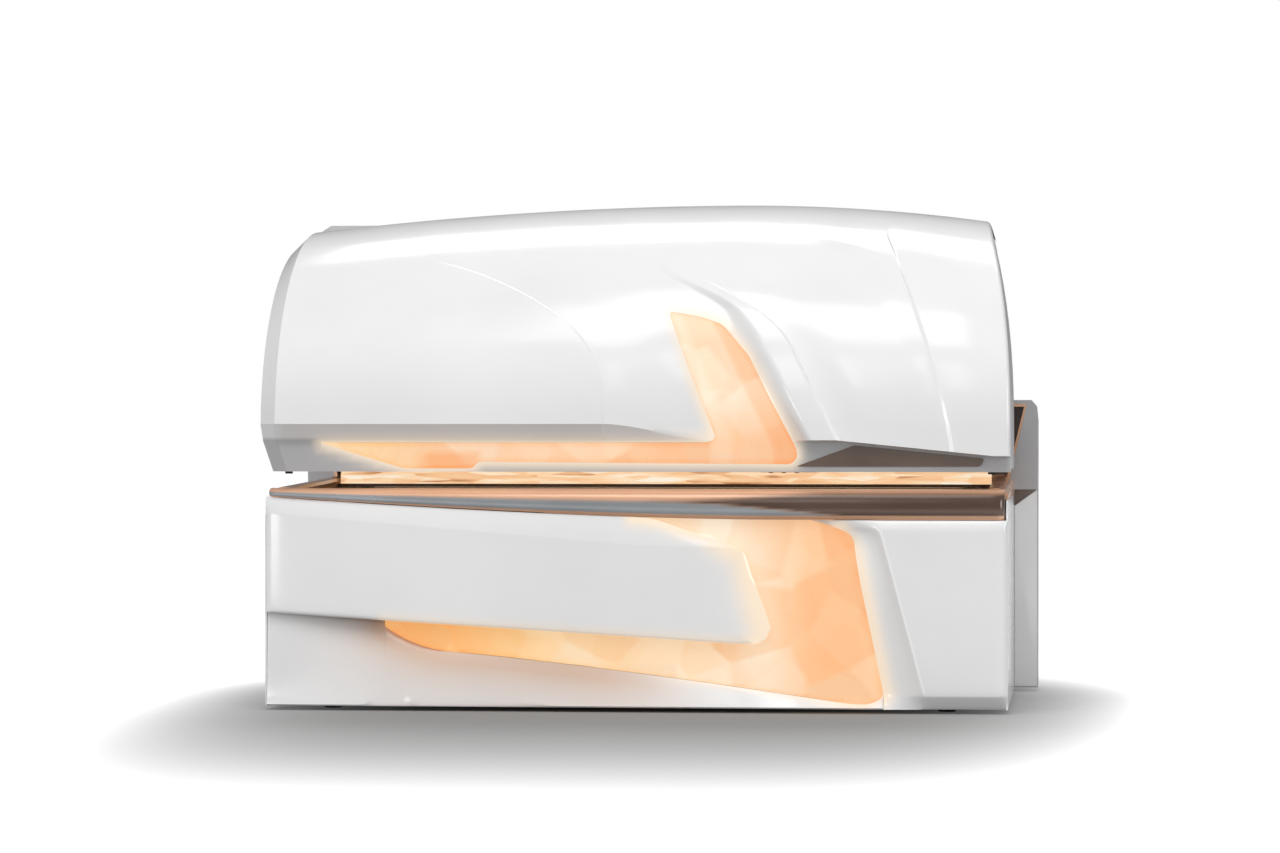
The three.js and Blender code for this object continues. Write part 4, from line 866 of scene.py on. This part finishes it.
COVER_HEIGHTS = [FLOOR_GAP, 0.055, 0.062, 0.190, 0.320, 0.440, 0.548, 0.566, 0.582, 0.593]
COVER_FOOT = 0.0585


def cover_crease(z):
    return 0.767 + 0.265 * (0.549 - z)


COVER_EDGE = [(cover_crease(z), z) for z in (0.560, COVER_FOOT)] + [(TUB_HALF - 0.010, COVER_FOOT)]


def cover_edge_highlight(point):
    """A painted highlight along the fine edge of the right cover's face."""
    return near(point, COVER_EDGE, 0.0022, 4) if point.y < FRONT_Y + 0.004 else 0.0


def right_cover_point(i, j, inset):
    z = COVER_HEIGHTS[j]
    edge = insert_edge(0.5) - 0.044 * (j - 6) if j > 5 else insert_edge(max(z, CORNER_Z))
    crease = cover_crease(z)
    xs = [edge + 0.0006, edge + 0.018, edge + 0.046, mix(edge + 0.046, crease, 0.6), crease - 0.006]
    xs += [crease + 0.004, mix(crease, TUB_HALF, 0.55), TUB_HALF - 0.026, TUB_HALF - 0.008, TUB_HALF]
    side = (0.036, 0.028, 0.024, 0.014, 0.002, 0.0, 0.0, 0.0, 0.005, 0.020)[i]
    back = (0.022, 0.002, 0.0, 0.0, 0.0, 0.0, 0.0, 0.002, 0.007, 0.014)[j]
    deep = mix(0.014, 0.036, min(1.0, i / 5)) if j == 0 else max(side, back)
    return Vector((xs[i] - (inset if i == 9 else 0.0), FRONT_Y + deep + inset, z))


def sliced(piece, normal, start, end, count):
    """Cuts a piece's faces along evenly spaced planes, so that it has points to paint."""
    with opened(piece.data) as form:
        for k in range(1, count):
            every = list(form.verts) + list(form.edges) + list(form.faces)
            place = Vector(normal) * mix(start, end, k / count)
            bmesh.ops.bisect_plane(form, geom=every, plane_co=place, plane_no=normal)


def base_lens_outline():
    top = band_bottom(0.540) + 0.006
    right = insert_edge(0.500) + 0.015
    outline = [(x, insert_bottom(x)) for x in STATIONS]
    outline += [(CORNER_X + 0.015, CORNER_Z), (right, 0.500), (right, 0.556)]
    outline += [(0.640, 0.582), (0.600, top), (0.0, top), (0.0, 0.540), (0.250, 0.470)]
    outline += [(panel_right(0.245) - 0.060, 0.245)]
    return outline + [(x, panel_bottom(x) + 0.015) for x in (0.150, -0.300, INSERT_TIP)]


def base_warmth(point):
    """The lit colour: orange at the tip, pale under the panel, orange again along the right edge."""
    tip = smooth(point.x, -0.22, -0.50)
    right = smooth(point.x, 0.36, 0.24)
    low = near(point, LENS_LOW, 0.004, 1)
    beside = near(point, LENS_RIGHT, 0.008, 1)
    cream = near(point, LENS_PANEL, 0.090, 1.8) * smooth(point.x, 0.10, 0.2)
    over = smooth(point.x, 0.40, -0.20) * smooth(point.z, 0.47, 0.05)
    pale = smooth(point.z, 0.20, -0.14) * smooth(point.x, -0.1, 0.3) * smooth(point.x, 0.62, -0.2)
    warm = 0.32 + 0.46 * tip + 0.22 * right + 0.20 * low + 0.16 * beside
    return clamp(warm - 0.25 * cream - 0.20 * over - 0.06 * pale)


def base_gold(point):
    return mix(0.9, 0.25, smooth(point.x, -0.45, 0.9))


def base_front():
    on_plinth = {"halo": plinth_halo, "spill": plinth_spill}
    # The right cover's edge layer is a painted highlight along its crease and foot.
    on_cover = {"halo": cover_halo, "edge": cover_edge_highlight}
    pieces = (
        ("panel", "base_front_panel", PANEL_COLUMNS, 9, panel_point, 0.008, {"halo": panel_halo}),
        ("plinth", "base_plinth", len(PLINTH_X) - 1, 3, plinth_point, COVER, on_plinth),
        ("right", "base_right_cover", 9, 9, right_cover_point, COVER, on_cover),
    )
    for name, node_name, columns, rows, point, wall, layers in pieces:
        piece = walled(f"base_{name}_skin", columns, rows, point, 0.0, wall)
        subdivided(piece, 3, 60)
        paint(piece, **layers)
        finish_piece(piece, "base", "white_shell", [node_name])
    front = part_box("base_insert")[0].y
    lens = prism("base_lens", base_lens_outline(), (front, front + 0.012))
    sliced(lens, (1, 0, 0), -0.78, 0.79, 64)
    sliced(lens, (0, 0, 1), 0.02, 0.60, 40)
    paint(lens, warmth=base_warmth, gold=base_gold)
    finish_piece(lens, "base", "glow_lens", ["base_insert"], 30)


base_front()

# The copper rim along the front, and its bead.
RIM_ENDS = [0.0, 0.0006, 0.002, 0.005, 0.010]
RIM_MIDDLE = [mix(0.02, 0.98, k / 38) for k in range(39)]
RIM_SHARES = RIM_ENDS + RIM_MIDDLE + [1 - share for share in reversed(RIM_ENDS)]
RIM_NOSE = [(0.015, 0.0), (0.006, 0.12), (0.004, 0.45), (0.014, 0.78), (0.034, 0.95), (0.062, 1.0)]
RIM_WALL = [(9, 4), (9, 3), (9, 0), (8, -4), (4, -8), (0, -9), (-6, -8), (-6, 0)]
RIM_ROUND = 0.022


def rim_point(i, j):
    x = mix(RIM_LOW.x, RIM_HIGH.x, RIM_SHARES[i])
    if j >= len(RIM_NOSE):
        return Vector((x, RIM_HIGH.y, RIM_TOP - (0.006, 0.026)[j - len(RIM_NOSE)]))
    depth, share = RIM_NOSE[j]
    from_end = min(x - RIM_LOW.x, RIM_HIGH.x - x)
    y = FRONT_Y + depth + RIM_ROUND * bend(1 - from_end / RIM_ROUND)
    return Vector((x, min(y, RIM_HIGH.y - 0.010), mix(band_bottom(x) + 0.0005, RIM_TOP, share)))


def rim_back(i, j):
    push_y, push_z = RIM_WALL[j]
    return rim_point(i, j) + Vector((0.0, 0.001 * push_y, 0.001 * push_z))


def rim_share(point):
    low = band_bottom(point.x)
    return (point.z - low) / (RIM_TOP - low)


def over_bead(point):
    return smooth(rim_share(point), 0.13, 0.03)


def sheen_top(x):
    return 0.5 - 0.5 * smooth(x, 0.10, 0.75)


def rim_sheen(point):
    """A painted grey reflection along the lower half of the rim, which runs out towards the right."""
    if point.y > FRONT_Y + 0.03:
        return 0.0
    return over_bead(point) * (1 - smooth(rim_share(point), sheen_top(point.x), 0.10))


def rim_dark_reflection(point):
    """A painted dark reflection that starts as a wedge over the grey one and fills the right."""
    if point.y > FRONT_Y + 0.04:
        return 0.0
    share = rim_share(point)
    top = mix(0.46, 0.74, smooth(point.x, 0.05, 0.60))
    inside = smooth(share, sheen_top(point.x), 0.08) * (1 - smooth(share, top, 0.22))
    return over_bead(point) * inside * smooth(point.x, -0.02, 0.12)


def rim():
    piece = sheet("rim_front_skin", len(RIM_SHARES) - 1, len(RIM_WALL) - 1, rim_point, rim_back)
    subdivided(piece, 2, 70)
    # Both layers are painted reflections on the rim's front.
    paint(piece, sheen=rim_sheen, dark=rim_dark_reflection)
    finish_piece(piece, "base", "copper_trim", ["rim_front"])


rim()


def light_bar():
    """The lit bar behind the bench, with a rippled front."""
    low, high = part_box("bench_light_bar")
    columns = 120

    def face(i, j):
        share = (0.0, 0.12, 0.3, 0.5, 0.7, 0.88, 1.0)[j]
        bulge = 0.006 * math.sin(math.pi * share) + 0.0012 * math.sin(0.9 * i)
        return Vector((mix(low.x, high.x, i / columns), low.y + 0.009 * share + 0.001 - bulge * 0.4,
                       mix(low.z, high.z, share)))

    piece = sheet("light_bar_lens", columns, 6, face, lambda i, j: face(i, j) + Vector((0, 0.012, 0)))
    finish_piece(piece, "base", "glow_lens", ["bench_light_bar"], 40, LIT_BAR)


light_bar()


def tower_trim():
    """On each tower's front: a dark wedge, a pale cover under it, and a copper sill in the recess."""
    front = HOUSING_LOW.y
    sill_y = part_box("rear_wall_trim")[1].y
    near_x, far_x = TUB_HALF + 0.0012, HOUSING_HIGH.x - 0.0025
    foot, low, high, gap = HOUSING_LOW.z + 0.004, 0.617, 0.671, 0.0015
    wedge = [(near_x, low), (far_x, high), (near_x, high)]
    cover = [(near_x, foot), (far_x, foot), (far_x, high - gap), (near_x, low - gap)]
    sill = [(1.052, 0.7012), (1.1225, 0.7012), (1.1270, 0.722), (1.052, 0.722)]
    for name, side in SIDES:
        for kind, outline, slot, limits in (
            ("wedge", wedge, "umber_panel", (front - 0.0024, front)),
            ("cover", cover, "white_shell", (front - 0.0020, front)),
            ("sill", sill, "copper_trim", (sill_y - 0.0030, sill_y)),
        ):
            corners = [(side * x, z) for x, z in outline][::side]
            piece = prism(f"tower_{kind}_{name}", rounded(corners, 0.003), limits)
            apply_modifiers(bevelled(piece, 0.0007))
            finish_piece(piece, "base", slot)


tower_trim()

# Lamps: two banks of tubes between arched holders, each tube with metal caps and black sockets.
TUNNEL_Y = (BENCH_LOW.y + BENCH_HIGH.y) / 2
TUNNEL_HALF = 0.420
LAMP_RADIUS, LAMP_SPACE, LAMP_COUNT = 0.019, 0.048, 12
LAMP_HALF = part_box("bench_lamps")[1].x - 0.020
ARC_TRIM = 0.9 * 0.94
LAMP_TUBE = [(0.012, -LAMP_HALF + 0.022), (LAMP_RADIUS, -LAMP_HALF + 0.034), (LAMP_RADIUS, 0.0)]
LAMP_TUBE += [(LAMP_RADIUS, LAMP_HALF - 0.034), (0.012, LAMP_HALF - 0.022)]
LAMP_CAP = [(0.015, 0.0), (0.0192, 0.002), (0.0192, 0.030), (0.0186, 0.034)]
LAMP_SOCKET = [(0.020, 0.0), (0.0215, 0.002), (0.0215, 0.014), (0.018, 0.018)]


def arc_of(sagitta):
    """Radius of the arc that rises by a sagitta over the tunnel's width."""
    return (TUNNEL_HALF ** 2 + sagitta ** 2) / (2 * sagitta)


def lamp_bank(name, radius, centre, middle, body):
    reach = math.asin(TUNNEL_HALF / radius) if middle else math.acos((SHEET_LOW.z - centre) / radius)
    at = radius + (SHEET + LAMP_SPACE) / 2
    tubes, caps, sockets = [], [], []
    for k in range(LAMP_COUNT):
        angle = middle + reach * ARC_TRIM * mix(-1, 1, k / (LAMP_COUNT - 1))
        y, z = TUNNEL_Y + at * math.sin(angle), centre + at * math.cos(angle)
        tubes.append(turned("tube", LAMP_TUBE, (0.0, y, z), (1, 0, 0), 20))
        for side in (-1, 1):
            for pieces, profile, beyond in ((caps, LAMP_CAP, -0.002), (sockets, LAMP_SOCKET, 0.018)):
                start = (side * (LAMP_HALF + beyond), y, z)
                pieces.append(turned("end", profile, start, (-side, 0, 0), 20))
    finish_piece(merged(f"{name}_tubes", tubes), body, "lamp_white", [f"{name}_lamps"])
    finish_piece(merged(f"{name}_caps", caps), body, "canopy_alloy")
    finish_piece(merged(f"{name}_sockets", sockets), body, "black_plastic")


BENCH_RADIUS = arc_of(BENCH_HIGH.z - BENCH_LOW.z - SHEET)
CANOPY_RADIUS = arc_of(SHEET_HIGH.z - SHEET_LOW.z - SHEET)
lamp_bank("bench", BENCH_RADIUS, BENCH_LOW.z + SHEET + BENCH_RADIUS, math.pi, "base")
lamp_bank("canopy", CANOPY_RADIUS, SHEET_HIGH.z - SHEET - CANOPY_RADIUS, 0.0, "canopy")

# Struts, hinges, fans, feet and buttons: turned pieces with fine edges.
STRUT_FOOT = Vector((0.0, 0.400, 0.330))
STRUT_HEAD = Vector((0.0, 0.314, 0.936))
HINGE_Y, HINGE_Z = 0.470, 0.990
SCREW_HEAD = [(1.0, 0.0), (1.0, 0.5), (0.85, 0.65), (0.5, 0.65), (0.48, 0.20)]
FAN_Z, FAN_RADIUS, BLADES = 0.360, 0.140, 7


def centre_of(node_name):
    low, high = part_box(node_name)
    return (low + high) / 2


def struts():
    along = (STRUT_HEAD - STRUT_FOOT).normalized()
    reach = (STRUT_HEAD - STRUT_FOOT).length
    can = [(0.006, 0.011), (0.010, 0.013), (0.0105, 0.022), (0.0132, 0.026), (0.014, 0.030)]
    can += [(0.014, 0.418), (0.0135, 0.422), (0.0125, 0.424), (0.0125, 0.428), (0.0075, 0.430)]
    eye = [(0.012, -0.008), (0.013, -0.007), (0.013, 0.007), (0.012, 0.008)]
    rod = [(0.006, reach - 0.380), (0.006, reach - 0.012), (0.0085, reach - 0.011)]
    rod += [(0.0085, reach - 0.008)]
    ball = [(0.010 * math.sin(a), -0.010 * math.cos(a)) for a in (0.3, 0.7, 1.1, 1.57, 2.0, 2.4, 2.84)]
    pin = [(0.0046, 0.0), (0.005, 0.001), (0.005, 0.019), (0.0046, 0.020)]
    for name, side in SIDES:
        barrel, shaft = f"strut_barrel_{name}", f"strut_rod_{name}"
        across = Vector((centre_of(barrel).x, 0, 0))
        foot, head = STRUT_FOOT + across, STRUT_HEAD + across
        pieces = [turned("can", can, foot, along), turned("eye", eye, foot, (1, 0, 0))]
        finish_piece(merged(f"strut_can_{name}", pieces), barrel, "strut_black", [barrel])
        pieces = [turned("rod", rod, foot, along), turned("ball", ball, head, along)]
        pieces.append(turned("pin", pin, head, (side, 0, 0)))
        finish_piece(merged(f"strut_shaft_{name}", pieces), shaft, "strut_rod", [shaft])


def screw(place, axis, radius=0.006):
    """A round head with a socket in it."""
    return turned("screw", [(radius * a, radius * b) for a, b in SCREW_HEAD], place, axis, 20)


def hinge_sleeve(x, length):
    ring = [(0.0178, 0.0), (0.0193, 0.0015), (0.0193, length - 0.0015), (0.0178, length)]
    return turned("sleeve", ring, (x, HINGE_Y, HINGE_Z), (1, 0, 0))


def hinges():
    cap = [(0.0085, 0.0), (0.0085, 0.002), (0.006, 0.0045), (0.003, 0.0052)]
    for name, _ in SIDES:
        low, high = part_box(f"hinge_bracket_{name}")
        middle = (low.x + high.x) / 2
        pieces = []
        for ear in (-1, 1):
            pieces.append(hinge_sleeve(middle + ear * 0.033 - 0.0112, 0.0224))
            pieces.append(turned("cap", cap, (middle + ear * 0.0445, HINGE_Y, HINGE_Z), (ear, 0, 0), 24))
            pieces.append(screw((middle + ear * 0.046, high.y - 0.022, low.z + 0.0078), (0, 0, 1)))
        finish_piece(merged(f"hinge_sleeves_{name}", pieces), "base", "frame_steel")
        low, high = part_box(f"hinge_leaf_{name}")
        pieces = [hinge_sleeve(middle - 0.021, 0.0420)]
        for x in (low.x + 0.016, high.x - 0.016):
            for z in (low.z + 0.018, high.z - 0.018):
                pieces.append(screw((x, low.y + 0.0078, z), (0, 1, 0)))
        finish_piece(merged(f"hinge_knuckle_{name}", pieces), "canopy", "frame_steel")


def fan_blade(centre, turn):
    """A twisted blade, narrower and flatter at its tip."""
    def face(i, j):
        out, across = i / 8, j / 6
        radius = mix(0.040, 0.124, out)
        depth = mix(0.014, -0.014, across) * mix(1.0, 0.75, out)
        angle = turn + mix(-0.5, 0.5, across) * mix(0.62, 0.44, out) + 0.12 * out
        return centre + Vector((radius * math.sin(angle), depth, radius * math.cos(angle)))

    return sheet("blade", 8, 6, face, lambda i, j: face(i, j) + Vector((0, 0.002, 0)))


def fans():
    hub = [(0.036, -0.020), (0.042, -0.016), (0.042, 0.012), (0.038, 0.018), (0.020, 0.020)]
    for name, _ in SIDES:
        rotor = f"fan_rotor_{name}"
        centre = centre_of(rotor)
        centre.z = FAN_Z
        pieces = [turned("hub", hub, centre, (0, 1, 0), 40)]
        pieces += [fan_blade(centre, 2 * math.pi * k / BLADES) for k in range(BLADES)]
        finish_piece(merged(f"fan_wheel_{name}", pieces), rotor, "black_plastic", [rotor])
        seat = Vector((centre.x, HOUSING_HIGH.y - 0.004, FAN_Z))
        screws = []
        for k in range(4):
            angle = math.pi / 4 + k * math.pi / 2
            spot = Vector((math.cos(angle), 0, math.sin(angle))) * (FAN_RADIUS - 0.007)
            screws.append(screw(seat + spot, (0, 1, 0), 0.0045))
        finish_piece(merged(f"fan_screws_{name}", screws), "base", "strut_rod")


def feet():
    pad = [(0.022, 0.0), (0.026, 0.0006), (0.028, 0.003), (0.0275, 0.0045), (0.024, 0.007)]
    pad += [(0.012, 0.009)]
    for k in range(1, 5):
        foot = f"levelling_foot_{k}"
        place = centre_of(foot)
        place.z = 0.0
        stem = (0.0085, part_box(foot)[1].z)
        piece = turned(f"foot_pad_{k}", pad + [stem], place, (0, 0, 1), 40)
        finish_piece(piece, "base", "black_rubber", [foot])


def buttons():
    cap = [(0.0035, 0.0004), (0.0052, 0.0), (0.0064, 0.0004), (0.007, 0.0014), (0.007, 0.008)]
    cap += [(0.010, 0.008), (0.010, 0.011)]
    for k in range(1, 4):
        button = f"button_{k}"
        place = centre_of(button)
        place.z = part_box(button)[0].z
        piece = turned(f"button_cap_{k}", cap, place, (0, 0, 1), 40)
        finish_piece(piece, button, "copper_trim", [button])


struts()
hinges()
fans()
feet()
buttons()

# Nodes that keep their CAD shape get rounded edges.
PAIRS = ("base_end", "canopy_end", "hinge_leaf", "hinge_bracket", "strut_bracket", "fan_grille")
FINE_EDGES = [f"{kind}_{name}" for kind in PAIRS for name, _ in SIDES]
FINE_EDGES += ["rear_deck", "floor_pan", "control_panel", "rear_wall_panel", "rear_wall_trim"]
FINE_EDGES += ["air_nozzle_1", "air_nozzle_2"]
SOFT_EDGES = ["canopy_rear_cover", "rim_left", "rim_right", "ballast_box", "base_frame"]
SOFT_EDGES += ["canopy_frame", "canopy_inner_frame"]
for width, names in ((0.0012, FINE_EDGES), (0.004, SOFT_EDGES)):
    for name in names:
        bevelled(nodes[name], width)
bevelled(nodes["rear_housing"], 0.012, 5, 20)


def studio_floor():
    """A pale floor that is white to the camera away from the bed. Its emission fades towards the bed, a
    painted soft shadow laid over the real shadow on its darker base.
    """
    corners = [(-60, -60, 0), (60, -60, 0), (60, 60, 0), (-60, 60, 0)]
    floor = new_object("studio_floor", corners, [(0, 1, 2, 3)])
    look = Look("studio_floor")
    look.set(Base_Color=look.tones(look.noise(0.2), (0.27, 0.27, 0.27), (0.29, 0.29, 0.29)))
    look.set(Roughness=0.9, Specular_IOR_Level=0.0, Emission_Color=(1.0, 1.0, 1.0, 1.0))
    parts = look.add("SeparateXYZ", [("Vector", look.place)])
    # The emission fades within an ellipse round the bed, longer in front: a painted soft shadow.
    shares = []
    for axis, before, behind, power in (("X", 1.6, 1.6, 4.0), ("Y", 3.9, 1.7, 2.0)):
        along = parts.outputs[axis]
        ahead = look.math("DIVIDE", along, -before)
        away = look.math("MAXIMUM", ahead, look.math("DIVIDE", along, behind))
        shares.append(look.math("POWER", away, power))
    fade = look.math("MINIMUM", look.math("POWER", look.math("ADD", *shares), 1.5), 1.0)
    path = look.add("LightPath")
    seen = look.math("MAXIMUM", path.outputs["Is Camera Ray"], path.outputs["Is Glossy Ray"])
    seen = look.math("MAXIMUM", seen, path.outputs["Is Transmission Ray"])
    look.set(Emission_Strength=look.math("MULTIPLY", seen, fade))
    floor.data.materials.append(look.material)


def studio_world():
    world = bpy.data.worlds.new("studio")
    bpy.context.scene.world = world
    world.use_nodes = True
    tree = world.node_tree
    back = tree.nodes["Background"]
    back.inputs["Color"].default_value = (1.0, 1.0, 1.0, 1.0)
    path = tree.nodes.new("ShaderNodeLightPath")
    strength = tree.nodes.new("ShaderNodeMapRange")
    strength.inputs["To Min"].default_value = 0.24
    strength.inputs["To Max"].default_value = 1.0
    tree.links.new(path.outputs["Is Camera Ray"], strength.inputs["Value"])
    tree.links.new(strength.outputs["Result"], back.inputs["Strength"])


def softbox(name, place, target, width, height, power, mirrored=True):
    """A soft light. One that isn't mirrored lights the bed without showing in its gloss."""
    light = bpy.data.lights.new(name, "AREA")
    configured(light, shape="RECTANGLE", size=width, size_y=height, energy=power)
    lamp = configured(linked(name, light), location=place, visible_glossy=mirrored)
    lamp.rotation_euler = (Vector(target) - Vector(place)).to_track_quat("-Z", "Y").to_euler()


def photo_camera():
    camera = bpy.data.cameras.new("photo_view")
    camera.lens = 118.8
    camera.sensor_width = 36.0
    viewer = linked("photo_view", camera)
    viewer.location = (1.3804, -13.6304, 0.88)
    viewer.rotation_euler = (math.radians(90), 0.0, math.radians(6))
    bpy.context.scene.camera = viewer
    bpy.context.scene.view_settings.view_transform = "Standard"


studio_floor()
studio_world()
softbox("key", (-0.5, -6.5, 8.6), (0.0, -0.4, 0.9), 12.0, 6.0, 560.0, False)
softbox("front_fill", (0.8, -10.5, 2.2), (0.2, -0.4, 0.8), 7.0, 2.5, 48.0, False)
softbox("left_wall", (-7.0, -6.0, 3.0), (-0.4, -0.4, 0.8), 3.5, 3.0, 100.0, False)
softbox("right_wall", (7.0, -3.6, 2.6), (0.6, 0.0, 0.8), 3.5, 3.0, 175.0)
softbox("overhead_rear", (0.3, 2.3, 5.2), (0.0, 0.2, 0.8), 5.0, 1.4, 85.0)
softbox("window_front", (-0.25, -4.4, 8.3), (0.3, -0.6, 1.2), 2.5, 3.2, 70.0)
softbox("window_low", (0.0, -7.4, 5.4), (0.6, -0.65, 1.05), 0.6, 2.4, 12.0)
softbox("crease_strip", (-4.4, -9.3, 1.1), (0.4, -0.7, 0.7), 2.4, 2.6, 110.0)
photo_camera()
